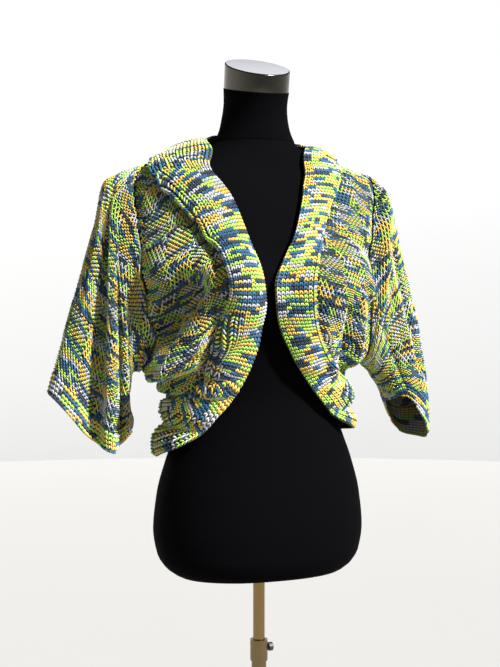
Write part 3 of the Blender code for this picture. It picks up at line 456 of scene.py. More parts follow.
def front_panel(side):
    """Grid of angles and heights for a front, rows from the shoulder seam to the hem."""
    t = np.linspace(0.0, 1.0, BODY_ROWS)[:, None]
    s = np.linspace(0.0, 1.0, PANEL_STEPS)[None, :]
    inner_angle, inner_height = panel_inner_line(side, t * FRONT_END)
    top = ARMHOLES[side][0]
    hem = hem_seam_height(90.0 if side == RIGHT else 270.0) - SEAM_TUCK
    outer_height = top + (hem - top) * t
    outer_angle = 90.0 - armhole_angle(side, outer_height)
    height = inner_height + (outer_height - inner_height) * s
    angle = inner_angle + (outer_angle - inner_angle) * s
    angle = np.minimum(angle, 90.0 - SEAM_TURN)
    return side * angle, height


def hem_seam_height(turn):
    """Height of the hem band's seam at a turn, which runs from 90 on the right to 270."""
    return columns_of([(-row[0], row[2]) for row in HEM], turn)[0]


def back_panel():
    """Grid of angles and heights for the back, rows from the shoulders to the hem."""
    t = np.linspace(0.0, 1.0, BODY_ROWS)[:, None]
    s = np.linspace(0.0, 1.0, BACK_STEPS)[None, :]
    neck_height, shoulder_share, settled_at, sink = 1.366, 0.26, 0.30, 0.30
    hem = hem_seam_height(90.0 + 180.0 * s) - SEAM_TUCK
    top_right, top_left = ARMHOLES[RIGHT][0], ARMHOLES[LEFT][0]
    ridge = np.clip(np.minimum(s, 1 - s) / shoulder_share, 0.0, 1.0)
    tip = np.where(s < 0.5, top_right, top_left)
    top_height = tip + (neck_height - tip) * ridge
    round_share = np.clip((s - shoulder_share) / (1 - 2 * shoulder_share), 0.0, 1.0)
    top_angle = -90.0 - 180.0 * round_share
    plain_height = top_right + (hem - top_right) * t
    right_turn = armhole_angle(RIGHT, plain_height, back=True)
    left_turn = armhole_angle(LEFT, plain_height, back=True)
    plain_angle = -90.0 - right_turn - (180.0 - right_turn - left_turn) * s
    settle = smooth_step(t / settled_at)
    height = top_height * (1 - settle) + plain_height * settle
    height = height - sink * (top_right - hem) * t * (1 - settle)
    angle = top_angle * (1 - settle) + plain_angle * settle
    return np.clip(angle, -270.0 + SEAM_TURN, -90.0 - SEAM_TURN), height


def armhole_ring(side, around):
    """Angle and height of the sleeve's edge, which laps over the edge of the armhole.

    Around is 0 at the top and 0.25 at the front.
    """
    top, bottom = ARMHOLES[side][:2]
    turn = 2 * np.pi * around
    height = (top + bottom) / 2 + (top - bottom) / 2 * np.cos(turn)
    lap = ARMHOLE_LAP_TURN * np.abs(np.sin(turn))
    front = 90.0 - armhole_angle(side, height) - lap
    back = 90.0 + armhole_angle(side, height, back=True) + lap
    angle = side * np.where(np.sin(turn) >= 0, front, back)
    return angle, height + ARMHOLE_LAP * np.cos(turn)


def bump(around, centre, spread):
    return np.exp(-(((around - centre) / spread) ** 2))


def sleeve_point(side, mark, station):
    """The middle of a sleeve's cloth. Marks run from 0 at the outer fold over the front."""
    mark, station = np.broadcast_arrays(mark, station)
    rows = SLEEVES[side]
    (
        outer_x, outer_z, inner_x, inner_z, centre_y, front, back,
        front_drop, back_drop, strip_at, strip, groove, pleat,
    ) = columns_of(numbered(rows, np.arange(float(len(rows)))), station)
    around = share_around(mark, strip_at)
    turn = 2 * np.pi * around
    share = (1 + np.cos(turn)) / 2
    x = inner_x + (outer_x - inner_x) * share
    z = inner_z + (outer_z - inner_z) * share
    drop_spread = np.where(around < FRONT_DROP_AT, DROP_OUTWARD, DROP_INWARD)
    z = z - front_drop * bump(around, FRONT_DROP_AT, drop_spread)
    z = z - back_drop * bump(around, BACK_DROP_AT, BACK_DROP_SPREAD)
    swell = signed_power(np.sin(turn), SLEEVE_ROUNDNESS)
    y = centre_y - swell * np.where(swell > 0, front, back)
    second = bump(mark, STRIP_MARK + SECOND_STRIP_AFTER, SECOND_STRIP_SPREAD)
    y = y - strip * bump(mark, STRIP_MARK, STRIP_SPREAD)
    y = y - strip * SECOND_STRIP_SHARE * second
    y = y + groove * bump(mark, STRIP_MARK - GROOVE_BEFORE, GROOVE_SPREAD)
    y = y + pleat * bump(mark, STRIP_MARK + PLEAT_AFTER, PLEAT_SPREAD)
    free = np.stack([side * x, y, z], axis=-1)
    ring = armhole_ring(side, share_around(mark, rows[0][STRIP_COLUMN]))
    rim = cloth_point(*ring) + cloth_normal(*ring) * ARMHOLE_LIFT[side]
    nearby = np.clip(1 - station, 0.0, 1.0)[..., None] ** 2
    cloth = rim * nearby + free * (1 - nearby)
    roll = ROLL_OUT[side] * bump(station, ROLL_AT, ROLL_SPREAD) * np.maximum(0.0, np.sin(turn))
    cloth[..., 1] -= roll
    return cloth


def hem_place(along, across):
    """Angle, height and lift of a point of the back hem band, across from its free edge."""
    angle, free_height, seam_height, *lifts = columns_of(
        numbered(HEM, [-row[0] for row in HEM]), along
    )
    height = free_height + (seam_height - free_height) * across
    return angle, height, bowed_lift(*lifts, across)


def lifted(place):
    """Points and outward normals of a strip of cloth that lies on the body cloth."""
    angle, height, lift = place
    normals = cloth_normal(angle, height)
    return cloth_point(angle, height) + normals * lift[..., None], normals


# How finely each shell is divided
BODY_ROWS, PANEL_STEPS, BACK_STEPS = 60, 36, 70
BAND_ROWS, HEM_ROWS, SLEEVE_ROWS, CUFF_ROWS, SLEEVE_STEPS = 150, 90, 60, 10, 120

# Stitches: their size, in metres, the wales of a band, the size of a block of one kind,
# and how far under the middle of the cloth the two faces of its shell lie
WALE, COURSE = 0.0070, 0.0060
BAND_WALES, STRIP_STEPS = 9, 600
BLOCK_WALES, BLOCK_COURSES = 7, 8
SHELL_LOW, SHELL_HIGH = -0.0016, -0.0004

# How the courses lie: how far they rise for each degree from the side of a front towards
# its edge, the height that the body's are counted from, and how level they run
FRONT_SLOPE = {RIGHT: 0.00090, LEFT: 0.00055}
FIRST_COURSE, BODY_LEVEL, SLEEVE_LEVEL = 1.06, 0.75, 0.5

# Where stitches are laid out, and in how many steps, by angle from the front and height,
# by mark round a sleeve, and across a band and its rolled edge
SIDE_TURN, BACK_TURN = 90.0, 180.0
FRONT_TURNS, FRONT_LEVELS = (4.0, SIDE_TURN, 160), (1.40, 0.87, 260)
BACK_TURNS, BACK_LEVELS = (SIDE_TURN, 270.0, 320), (1.40, 0.93, 240)
SLEEVE_MARKS, SLEEVE_STATIONS = (-0.499, 0.499, 240), 160
BAND_ACROSS, BAND_EDGE = (0.0, 1.0, 10), (1.02, 1.11, 5)

# Each strand of a stitch: where it runs in the stitch's cell, across and along, and how
# far it lies above the middle of the cloth. Its first and last points are its thin ends.
KNIT_LEG = (
    (0.50, -0.26, -0.0010), (0.38, 0.08, 0.0010), (0.26, 0.44, 0.0020),
    (0.16, 0.78, 0.0010), (0.10, 1.04, -0.0010),
)
KNIT_STRANDS = (KNIT_LEG, [(1 - across, along, lift) for across, along, lift in KNIT_LEG])
PURL_STRANDS = (
    ((0.02, 0.06, -0.0012), (0.32, 0.30, 0.0016), (0.68, 0.30, 0.0016), (0.98, 0.06, -0.0012)),
    ((0.52, 0.98, -0.0012), (0.82, 0.76, 0.0010), (1.18, 0.76, 0.0010), (1.48, 0.98, -0.0012)),
)
LACE_STRANDS = (
    ((0.54, -0.10, -0.0004), (0.38, 0.30, 0.0016), (0.14, 0.72, 0.0016), (-0.02, 1.10, -0.0004)),
    ((0.46, -0.10, -0.0004), (0.62, 0.30, 0.0012), (0.86, 0.72, 0.0020), (1.02, 1.10, 0.0000)),
    ((0.14, 0.06, -0.0010), (0.38, -0.04, 0.0022), (0.62, -0.04, 0.0022), (0.86, 0.06, -0.0010)),
)

# The kinds of stitch, each with its strands and their radius, which is full in their
# middle and a share of that on both sides of it, and how many sides a strand has
KNIT, PURL, LACE = 0, 1, 2
KINDS = ((KNIT_STRANDS, 0.00162), (PURL_STRANDS, 0.00130), (LACE_STRANDS, 0.00124))
RING_SHARE = 0.80
FRONT_SIDES, BACK_SIDES = 5, 4

# The seam edge of a band rolls over towards the cloth, with a wale on it
EDGE_ROLL, EDGE_WALES, EDGE_STEP = 0.0034, 1, 0.03

# The yarn's colours, as linear light, and how often each comes round
YARN_COLOURS = (
    (0.011, 0.103, 0.228),
    (0.004, 0.027, 0.064),
    (0.385, 0.620, 0.105),
    (0.700, 0.500, 0.095),
    (0.475, 0.500, 0.530),
)
YARN_SHARES = (0.21, 0.09, 0.27, 0.25, 0.18)
RUN_SHORTEST, RUN_LONGEST, TONE_LOW, TONE_HIGH = 1, 5, 0.82, 1.18


def mesh_object(name, vertices, triangles, materials, slots=None):
    """A smooth object of triangles, built in bulk as there are many."""
    mesh = bpy.data.meshes.new(name)
    mesh.vertices.add(len(vertices))
    mesh.vertices.foreach_set("co", np.ascontiguousarray(vertices, np.float32).ravel())
    mesh.loops.add(3 * len(triangles))
    mesh.loops.foreach_set("vertex_index", np.ascontiguousarray(triangles, np.int32).ravel())
    mesh.polygons.add(len(triangles))
    mesh.polygons.foreach_set("loop_start", np.arange(0, 3 * len(triangles), 3, dtype=np.int32))
    mesh.update(calc_edges=True)
    mesh.polygons.foreach_set("use_smooth", np.ones(len(triangles), bool))
    for material in materials:
        mesh.materials.append(material)
    if slots is not None:
        mesh.polygons.foreach_set("material_index", np.ascontiguousarray(slots, np.int32))
    mesh.validate()
    made = bpy.data.objects.new(name, mesh)
    bpy.context.scene.collection.objects.link(made)
    return made


def step_lengths(points, axis):
    return np.linalg.norm(np.diff(points, axis=axis), axis=-1)


def summed(steps, axis=0):
    """The running total of steps, from nothing."""
    total = np.cumsum(steps, axis=axis)
    return np.concatenate([np.zeros_like(total.take([0], axis)), total], axis=axis)


def ring_grid(rows, steps):
    """Numbers of the vertices of rings, where the first of each comes again at its end."""
    grid = np.arange(rows * steps).reshape(rows, steps)
    return np.concatenate([grid, grid[:, :1]], axis=1)


def grid_faces(grid):
    """The two triangles of each cell of a grid of vertices."""
    a, b = grid[:-1, :-1].ravel(), grid[:-1, 1:].ravel()
    c, d = grid[1:, 1:].ravel(), grid[1:, :-1].ravel()
    return [np.stack([a, b, c], 1), np.stack([a, c, d], 1)]


def turned_over(faces):
    return [face[:, [0, 2, 1]] for face in faces]


def add_colours(made, colours):
    layer = made.data.color_attributes.new("yarn_colour", "FLOAT_COLOR", "POINT")
    full = np.concatenate([colours, np.ones((len(colours), 1))], axis=1)
    layer.data.foreach_set("color", np.ascontiguousarray(full, np.float32).ravel())


def add_vectors(made, name, vectors):
    layer = made.data.attributes.new(name, "FLOAT_VECTOR", "POINT")
    layer.data.foreach_set("vector", np.ascontiguousarray(vectors, np.float32).ravel())


def yarn_runs(count, random):
    """A colour's number for each stitch along the yarn, in runs of uneven length."""
    numbers, last = [], -1
    while len(numbers) < count:
        colour = random.choice(len(YARN_COLOURS), p=YARN_SHARES)
        if colour == last:
            continue
        length = random.randint(RUN_SHORTEST, RUN_LONGEST + 1)
        numbers += [colour] * length
        last = colour
    return np.array(numbers[:count])


def stitch_colours(wale, course, seed):
    """Colours of stitches that are worked course by course, to and fro."""
    random = np.random.RandomState(seed)
    first, width = wale.min(), wale.max() - wale.min() + 1
    row = course - course.min()
    place = wale - first
    place = np.where(row % 2 == 0, place, width - 1 - place)
    numbers = yarn_runs(int(width * (row.max() + 1)) + 1, random)[row * width + place]
    colours = np.array(YARN_COLOURS)[numbers]
    return colours * random.uniform(TONE_LOW, TONE_HIGH, (len(wale), 1))


def yarn_strands(place, wale, course, colours, strands, radius, sides):
    """Vertices, triangles, colours and strand places of one kind of stitch."""
    parts = []
    turns = 2 * np.pi * np.arange(sides) / sides
    for strand in strands:
        strand = np.array(strand)
        across = wale[:, None] + strand[None, :, 0]
        along = course[:, None] + strand[None, :, 1]
        centre, normal = place(across, along)
        centre = centre + normal * strand[None, :, 2:3]
        run = unit_rows(centre[:, 2:] - centre[:, :-2])
        out = normal[:, 1:-1]
        out = unit_rows(out - run * np.sum(out * run, axis=-1, keepdims=True))
        aside = np.cross(run, out)
        count, levels = len(wale), len(strand) - 2
        thick = np.full(levels, radius * RING_SHARE)
        thick[levels // 2: (levels + 1) // 2] = radius
        ring = out[:, :, None] * np.cos(turns)[None, None, :, None]
        ring = ring + aside[:, :, None] * np.sin(turns)[None, None, :, None]
        rings = centre[:, 1:-1, None] + ring * thick[None, :, None, None]
        vertices = np.concatenate(
            [centre[:, :1], rings.reshape(count, -1, 3), centre[:, -1:]], axis=1
        )
        length = summed(step_lengths(centre, 1).mean(axis=0))
        spot = np.zeros((vertices.shape[1], 3))
        spot[0] = (length[0], 1, 0)
        spot[-1] = (length[-1], 1, 0)
        spot[1:-1, 0] = np.repeat(length[1:-1], sides)
        spot[1:-1, 1] = np.tile(np.cos(turns), levels)
        spot[1:-1, 2] = np.tile(np.sin(turns), levels)
        parts.append((vertices, np.broadcast_to(spot, vertices.shape)))
    step = 2 + levels * sides
    faces = []
    for i in range(sides):
        j = (i + 1) % sides
        faces.append((0, 1 + j, 1 + i))
        faces.append((step - 1, 1 + (levels - 1) * sides + i, 1 + (levels - 1) * sides + j))
        for k in range(levels - 1):
            a, b = 1 + k * sides + i, 1 + k * sides + j
            faces.append((a, b, b + sides))
            faces.append((a, b + sides, a + sides))
    faces = np.array(faces)
    vertices = np.concatenate([v.reshape(-1, 3) for v, _ in parts])
    spots = np.concatenate([s.reshape(-1, 3) for _, s in parts])
    total = len(vertices) // step
    triangles = (faces[None] + step * np.arange(total)[:, None, None]).reshape(-1, 3)
    colour = np.repeat(np.concatenate([colours] * len(strands)), step, axis=0)
    return vertices, triangles, colour, spots


def stitches(name, place, wale, course, seed, material, kinds=None, sides=FRONT_SIDES):
    """One object of all a piece's stitches. Without kinds, all are plain knit."""
    colours = stitch_colours(wale, course, seed)
    if kinds is None:
        kinds = np.full(len(wale), KNIT)
    parts = []
    for kind, (strands, radius) in enumerate(KINDS):
        chosen = kinds == kind
        if chosen.any():
            shift = 0.5 * (course[chosen] % 2) if kind == LACE else 0.0
            parts.append(yarn_strands(
                place, wale[chosen] + shift, course[chosen], colours[chosen],
                strands, radius, sides,
            ))
    vertices, triangles, colour, spots = zip(*parts)
    starts = np.cumsum([0] + [len(v) for v in vertices])
    triangles = np.concatenate([t + start for t, start in zip(triangles, starts)])
    made = mesh_object(name, np.concatenate(vertices), triangles, [material])
    add_colours(made, np.concatenate(colour))
    add_vectors(made, "strand", np.concatenate(spots))
    return made


class Layout:
    """Even stitches on a surface given by p, across, and q, down its length.

    Courses are counted from q_start and wales from p_start. Level says how far the
    courses run straight across, and not at even steps down each line of the surface.
    """

    PLACE_STEP = 0.5

    def __init__(self, surface, p, q, p_start, q_start, level):
        self.surface = surface
        steps = step_lengths(surface(p[None, :], q[:, None])[0], 0)
        steps = steps * (1 - level) + level * steps.mean(axis=1, keepdims=True)
        down = summed(steps)
        columns = range(len(p))
        down = down - np.array([np.interp(q_start, q, down[:, j]) for j in columns])
        self.v = self.places(down, COURSE)
        levels = self.v * COURSE
        q_at = np.stack([np.interp(levels, down[:, j], q) for j in columns], axis=1)
        inside = (levels[:, None] >= down[0]) & (levels[:, None] <= down[-1])
        points = surface(np.broadcast_to(p, q_at.shape), q_at)[0]
        across = summed(step_lengths(points, 1), 1)
        across = across - np.array([np.interp(p_start, p, row) for row in across])[:, None]
        self.u = self.places(across, WALE)
        at = self.u * WALE
        self.p = np.stack([np.interp(at, row, p) for row in across])
        self.q = np.stack([np.interp(at, row, known) for row, known in zip(across, q_at)])
        self.inside = np.stack([
            np.interp(at, row, known.astype(float), left=0, right=0)
            for row, known in zip(across, inside)
        ])

    def places(self, lengths, size):
        """Numbers of the places of stitches of a size that cover all the lengths."""
        first, last = math.floor(lengths.min() / size), math.ceil(lengths.max() / size)
        return np.arange(first - 1, last + 2, self.PLACE_STEP)

    def blend(self, table, u, v):
        """A table's value at places in stitches, between its own places."""
        a = np.clip((u - self.u[0]) / self.PLACE_STEP, 0, len(self.u) - 1.001)
        b = np.clip((v - self.v[0]) / self.PLACE_STEP, 0, len(self.v) - 1.001)
        i, j = a.astype(int), b.astype(int)
        a, b = a - i, b - j
        low = table[j, i] * (1 - a) + table[j, i + 1] * a
        high = table[j + 1, i] * (1 - a) + table[j + 1, i + 1] * a
        return low * (1 - b) + high * b

    def place(self, u, v):
        return self.surface(self.blend(self.p, u, v), self.blend(self.q, u, v))

    def cells(self, outline=None):
        """Wale and course of each stitch whose middle lies inside the piece."""
        wale, course = np.meshgrid(
            np.arange(int(self.u[0]), int(self.u[-1])),
            np.arange(int(self.v[0]), int(self.v[-1])),
        )
        wale, course = wale.ravel(), course.ravel()
        inside, p, q = (
            self.blend(table, wale + 0.5, course + 0.5)
            for table in (self.inside, self.p, self.q)
        )
        kept = inside > 0.99
        if outline is not None:
            kept &= within(p, q, outline)
        return wale[kept], course[kept]


def within(x, y, outline):
    """Whether points lie inside a closed outline."""
    inside = np.zeros(x.shape, bool)
    for (x1, y1), (x2, y2) in zip(outline, np.roll(outline, -1, axis=0)):
        crosses = (y1 > y) != (y2 > y)
        if y1 != y2:
            inside ^= crosses & (x < (x2 - x1) * (y - y1) / (y2 - y1) + x1)
    return inside


def grid_outline(angle, height):
    """The outline of a panel's grid, in angles and heights."""
    angle, height = np.broadcast_arrays(angle, height)
    edge = [(0, slice(None)), (slice(None), -1), (-1, slice(None, None, -1))]
    edge.append((slice(None, None, -1), 0))
    return np.concatenate([np.stack([angle[e], height[e]], axis=1) for e in edge])


def block_kinds(wale, course):
    """Purl and lace blocks in turn, like a chessboard."""
    block = wale // BLOCK_WALES + course // BLOCK_COURSES
    return np.where(block % 2 == 0, PURL, LACE)


def shell(name, points, normals, material, closed=False):
    """A thin cloth shell inside the solid's wall, with stitch places for its material."""
    turned = np.cross(np.diff(points[:, :-1], axis=0), np.diff(points[:-1], axis=1))
    if np.sum(turned * normals[:-1, :-1]) < 0:
        points, normals = points[:, ::-1], normals[:, ::-1]
    rows, steps = points.shape[:2]
    u = summed(step_lengths(points, 1).mean(axis=0)) / WALE
    v = summed(step_lengths(points, 0).mean(axis=1)) / COURSE
    places = np.zeros((rows, steps, 3))
    places[..., 0], places[..., 1] = u[None, :], v[:, None]
    sides = [(points + normals * lift).reshape(-1, 3) for lift in (SHELL_HIGH, SHELL_LOW)]
    count = rows * steps
    grid = ring_grid(rows, steps) if closed else np.arange(count).reshape(rows, steps)
    inner = grid_faces(grid)
    faces = turned_over(inner[::-1]) + [face + count for face in inner]
    rims = [grid[0], grid[-1][::-1]]
    if not closed:
        rims += [grid[::-1, 0], grid[:, -1]]
    for rim in rims:
        one, two = rim[:-1], rim[1:]
        faces.append(np.stack([one, two, two + count], 1))
        faces.append(np.stack([one, two + count, one + count], 1))
    made = mesh_object(name, np.concatenate(sides), np.concatenate(faces), [material])
    add_vectors(made, "stitch", np.concatenate([places.reshape(-1, 3)] * 2))
    return made


def body_surface(angle, height):
    return cloth_point(angle, height), cloth_normal(angle, height)


def sleeve_crease(side, mark, station):
    """How far the sleeve's small creases raise its cloth."""
    total = np.zeros(np.broadcast(mark, station).shape)
    for at, first, last, half_width, rise in SLEEVE_CREASES[side]:
        beyond = np.maximum(0.0, np.maximum(first - station, station - last))
        distance = np.hypot((mark - at) / half_width, beyond / SLEEVE_CREASE_END)
        total = total + rise * np.exp(-distance * distance)
    return total


def with_turned_edge(place):
    """A band's surface whose seam edge, past an across of 1, rolls over towards the cloth."""
    def surface(across, along):
        inside = np.clip(across, 0.0, 1.0)
        points, normals = lifted(place(inside, along))
        over = np.maximum(0.0, across - 1.0) * BAND_WALES * WALE
        if not np.any(over > 0):
            return points, normals
        outward = points - lifted(place(inside - EDGE_STEP, along))[0]
        outward = outward - normals * np.sum(outward * normals, axis=-1, keepdims=True)
        outward = unit_rows(outward)
        turn = np.minimum(over / EDGE_ROLL, math.pi / 2)[..., None]
        down = np.maximum(0.0, over - EDGE_ROLL * math.pi / 2)[..., None]
        points = points + outward * EDGE_ROLL * np.sin(turn)
        points = points - normals * (EDGE_ROLL * (1 - np.cos(turn)) + down)
        return points, normals * np.cos(turn) + outward * np.sin(turn)
    return surface


def band_surface(side):
    return with_turned_edge(lambda across, along: band_place(side, along, across))


hem_surface = with_turned_edge(lambda across, along: hem_place(90.0 + 180.0 * along, across))


def strip_place(surface):
    """Stitch places on a band, with the wale and course of each of its stitches."""
    along = np.linspace(0.0, 1.0, STRIP_STEPS)
    length = summed(step_lengths(surface(np.full(STRIP_STEPS, 0.5), along)[0], 0))
    courses = int(round(length[-1] / COURSE))
    marks = np.linspace(0.0, courses, STRIP_STEPS)
    at = np.interp(np.linspace(0.0, length[-1], STRIP_STEPS), length, along)

    def place(u, v):
        return surface(np.maximum(u / BAND_WALES, 0.0), np.interp(v, marks, at))

    wale, course = np.meshgrid(np.arange(BAND_WALES + EDGE_WALES), np.arange(courses))
    return place, wale.ravel(), course.ravel()


def sleeve_surface(side, first, last):
    """A sleeve's surface by mark, from -0.5 to 0.5 with 0 at the outer fold, and station."""
    def surface(mark, station):
        mark, station = np.broadcast_arrays(mark, station)
        step = 0.004
        mark = np.mod(mark, 1.0)
        points = sleeve_point(side, mark, station)
        ahead, behind = np.mod(mark + step, 1.0), np.mod(mark - step, 1.0)
        along = sleeve_point(side, ahead, station) - sleeve_point(side, behind, station)
        down = sleeve_point(side, mark, station + step)
        down = down - sleeve_point(side, mark, np.maximum(station - step, 0.0))
        normals = unit_rows(np.cross(along, down)) * side
        return points + normals * sleeve_crease(side, mark, station)[..., None], normals
    return surface


# Materials. Colours are linear light, and lengths in the reliefs are metres.
JERSEY, LINT = (0.0008, 0.0008, 0.0013), (0.010, 0.010, 0.013)
KNOB_DARK, KNOB_LIGHT = (0.012, 0.012, 0.012), (0.03, 0.03, 0.03)
WALL_DARK, WALL_LIGHT = (0.04, 0.04, 0.04), (0.05, 0.05, 0.05)
# Painted reflection: the cap's top is a plain pale grey in place of chrome, standing in for the
# bright sky it reflects
CAP_TOP_PAINTED_REFLECTION, CAP_TOP_PAINTED_REFLECTION_ROUGHNESS = (0.27, 0.28, 0.31), 0.3
FLOOR, FLOOR_ROUGHNESS = (0.29, 0.29, 0.29), 0.95
METALS = {
    "brushed_chrome": ((0.60, 0.60, 0.59), 0.10),
    "dark_chrome": ((0.105, 0.10, 0.08), 0.10),
    # Painted reflection: the pole's chrome is tinted warm tan, standing in for the warm
    # reflections on it
    "chrome_painted_warm_reflection": ((0.31, 0.205, 0.085), 0.12),
    "brushed_steel": ((0.25, 0.175, 0.09), 0.18),
}
BRUSH_STRETCH, BRUSH_DARK = (1.0, 1.0, 30.0), 0.7
PLIES, PLY_WIND = 2.0, 1900.0
CLOTH_RUN, CLOTH_ROW_SHIFT = 5.0, 3.37
PLAIN_GRAIN, PLAIN_LIGHTER = 1.5, 1.03


def new_material(name):
    material = bpy.data.materials.new(name)
    material.use_nodes = True
    tree = material.node_tree
    return material, tree, tree.nodes["Principled BSDF"]


def fill(tree, node, inputs):
    """Sets inputs of a node to plain values, or links them to outputs of other nodes."""
    for key, value in inputs.items():
        if isinstance(value, bpy.types.NodeSocket):
            tree.links.new(value, node.inputs[key])
        else:
            node.inputs[key].default_value = value
    return node


def new_node(tree, kind, inputs):
    return fill(tree, tree.nodes.new(kind), inputs)


def math_node(tree, operation, *values):
    node = new_node(tree, "ShaderNodeMath", dict(enumerate(values)))
    node.operation = operation
    return node.outputs[0]


def scaled(tree, value, factor, plus=0.0):
    return math_node(tree, "MULTIPLY_ADD", value, factor, plus)


def mixed_colour(tree, blend, share, *colours):
    node = tree.nodes.new("ShaderNodeMix")
    node.data_type, node.blend_type = "RGBA", blend
    first, second = ((*c, 1.0) if isinstance(c, tuple) else c for c in colours)
    return fill(tree, node, {0: share, 6: first, 7: second}).outputs[2]


def times_grey(tree, colour, amount):
    grey = new_node(tree, "ShaderNodeCombineColor", {i: amount for i in range(3)})
    return mixed_colour(tree, "MULTIPLY", 1.0, colour, grey.outputs[0])


def own_attribute(tree, name):
    node = tree.nodes.new("ShaderNodeAttribute")
    node.attribute_name = name
    return node.outputs


def split(tree, vector):
    return new_node(tree, "ShaderNodeSeparateXYZ", {0: vector}).outputs


def object_place(tree):
    return tree.nodes.new("ShaderNodeTexCoord").outputs["Object"]


def noise(tree, scale, detail=3.0, vector=None):
    if vector is None:
        vector = object_place(tree)
    inputs = {"Scale": scale, "Detail": detail, "Vector": vector}
    return new_node(tree, "ShaderNodeTexNoise", inputs).outputs["Fac"]


def add_relief(tree, shader, height, distance, strength):
    inputs = {"Height": height, "Distance": distance, "Strength": strength}
    node = new_node(tree, "ShaderNodeBump", inputs)
    fill(tree, shader, {"Normal": node.outputs["Normal"]})


def yarn_material():
    """Two-ply variegated yarn: the plies wind round the strand, with painted shade in the grooves
    between them and a fine fibre grain.
    """
    material, tree, shader = new_material("yarn")
    x, y, z = split(tree, own_attribute(tree, "strand")["Vector"])
    turn = math_node(tree, "ARCTAN2", z, y)
    wound = scaled(tree, x, PLY_WIND, scaled(tree, turn, PLIES))
    ply = scaled(tree, math_node(tree, "SINE", wound), 0.5, 0.5)
    fibre = noise(tree, 1500.0)
    # Painted shade: the colour falls to two thirds in the grooves between the plies; the fibre
    # noise is a random tone
    amount = math_node(
        tree, "MULTIPLY", scaled(tree, ply, 0.34, 0.66), scaled(tree, fibre, 0.5, 0.75)
    )
    colour = own_attribute(tree, "yarn_colour")["Color"]
    fill(tree, shader, {
        "Base Color": times_grey(tree, colour, amount),
        "Roughness": 0.78, "Sheen Weight": 0.18, "Sheen Roughness": 0.5,
    })
    add_relief(tree, shader, scaled(tree, fibre, 0.35, ply), 0.00035, 0.8)
    return material


def painted_shade_cloth_material():
    """The knit between its stitches and inside, in rows of the yarn's colours, darkened as
    painted shade.
    """
    material, tree, shader = new_material("cloth")
    x, y, _ = split(tree, own_attribute(tree, "stitch")["Vector"])
    row = math_node(tree, "FLOOR", y)
    shifted = scaled(tree, row, CLOTH_ROW_SHIFT, x)
    run = math_node(tree, "FLOOR", math_node(tree, "DIVIDE", shifted, CLOTH_RUN))
    spot = new_node(tree, "ShaderNodeCombineXYZ", {0: run, 1: row})
    chance = new_node(tree, "ShaderNodeTexWhiteNoise", {"Vector": spot.outputs[0]})
    chance.noise_dimensions = "3D"
    ramp = new_node(tree, "ShaderNodeValToRGB", {"Fac": chance.outputs["Value"]})
    ramp.color_ramp.interpolation = "CONSTANT"
    stops = ramp.color_ramp.elements
    for i, (place, tone) in enumerate(zip(summed(YARN_SHARES), YARN_COLOURS)):
        stop = stops[i] if i < 2 else stops.new(place)
        stop.position, stop.color = place, (*tone, 1.0)
    across = math_node(tree, "SINE", scaled(tree, x, 2 * math.pi))
    down = math_node(tree, "SINE", scaled(tree, y, 4 * math.pi))
    relief = scaled(tree, down, 0.35, scaled(tree, across, 0.15, 0.5))
    grain = noise(tree, 900.0)
    # Painted shade: the cloth is at most about 37 per cent as bright as the yarn, darkest in the
    # dips of its relief, so the gaps between stitches read as shadow
    tone = math_node(
        tree, "MULTIPLY", scaled(tree, relief, 0.3, 0.04), scaled(tree, grain, 0.6, 0.5)
    )
    colour = times_grey(tree, ramp.outputs["Color"], tone)
    fill(tree, shader, {"Base Color": colour, "Roughness": 0.9})
    add_relief(tree, shader, scaled(tree, grain, 0.2, relief), 0.0015, 0.9)
    return material


def jersey_material():
    """Matte black jersey with a fine grain and a little lint."""
    material, tree, shader = new_material("black_jersey")
    fleck = math_node(tree, "POWER", noise(tree, 420.0, 4.0), 9.0)
    colour = mixed_colour(tree, "MIX", fleck, JERSEY, LINT)
    fill(tree, shader, {"Base Color": colour, "Roughness": 0.86, "Specular IOR Level": 0.03})
    add_relief(tree, shader, noise(tree, 1300.0), 0.0003, 0.6)
    return material


def metal_material(name):
    """Brushed metal: fine lines round the piece, from a noise squeezed along the axis."""
    colour, rough = METALS[name]
    material, tree, shader = new_material(name)
    inputs = {"Scale": BRUSH_STRETCH, "Vector": object_place(tree)}
    mapping = new_node(tree, "ShaderNodeMapping", inputs)
    lines = noise(tree, 90.0, 4.0, mapping.outputs["Vector"])
    dark = tuple(BRUSH_DARK * c for c in colour)
    fill(tree, shader, {
        "Base Color": mixed_colour(tree, "MIX", lines, dark, colour),
        "Roughness": scaled(tree, lines, 0.16, rough), "Metallic": 1.0,
    })
    add_relief(tree, shader, lines, 0.0001, 0.3)
    return material


def knob_material():
    material, tree, shader = new_material("black_knob")
    grain = noise(tree, 700.0)
    colour = mixed_colour(tree, "MIX", grain, KNOB_DARK, KNOB_LIGHT)
    fill(tree, shader, {"Base Color": colour, "Roughness": 0.45})
    add_relief(tree, shader, grain, 0.0002, 0.4)
    return material


def plain_material(name, colour, rough):
    material, tree, shader = new_material(name)
    light = tuple(min(1.0, PLAIN_LIGHTER * c) for c in colour)
    shade = mixed_colour(tree, "MIX", noise(tree, PLAIN_GRAIN), colour, light)
    fill(tree, shader, {"Base Color": shade, "Roughness": rough})
    return material


# The garment


def dress(piece, node):
    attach(piece, "form")
    if node:
        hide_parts(node)
    return piece


def knit_panel(node, grid, layout, outline, seed, yarn, cloth, sides, halves=1):
    """A panel's shell, and its stitches in one piece or in two halves."""
    base = dress(shell(node + "_cloth", *body_surface(*grid), cloth), node)
    wale, course = layout.cells(outline)
    middle = np.median(wale)
    made = []
    for half in range(halves):
        part = np.full(len(wale), True) if halves == 1 else (wale < middle) == (half == 0)
        name = node + "_stitches" + ("" if halves == 1 else "_%d" % (half + 1))
        kinds = block_kinds(wale[part], course[part])
        piece = stitches(
            name, layout.place, wale[part], course[part], seed + half, yarn, kinds, sides
        )
        made.append(dress(piece, None))
    return base, made


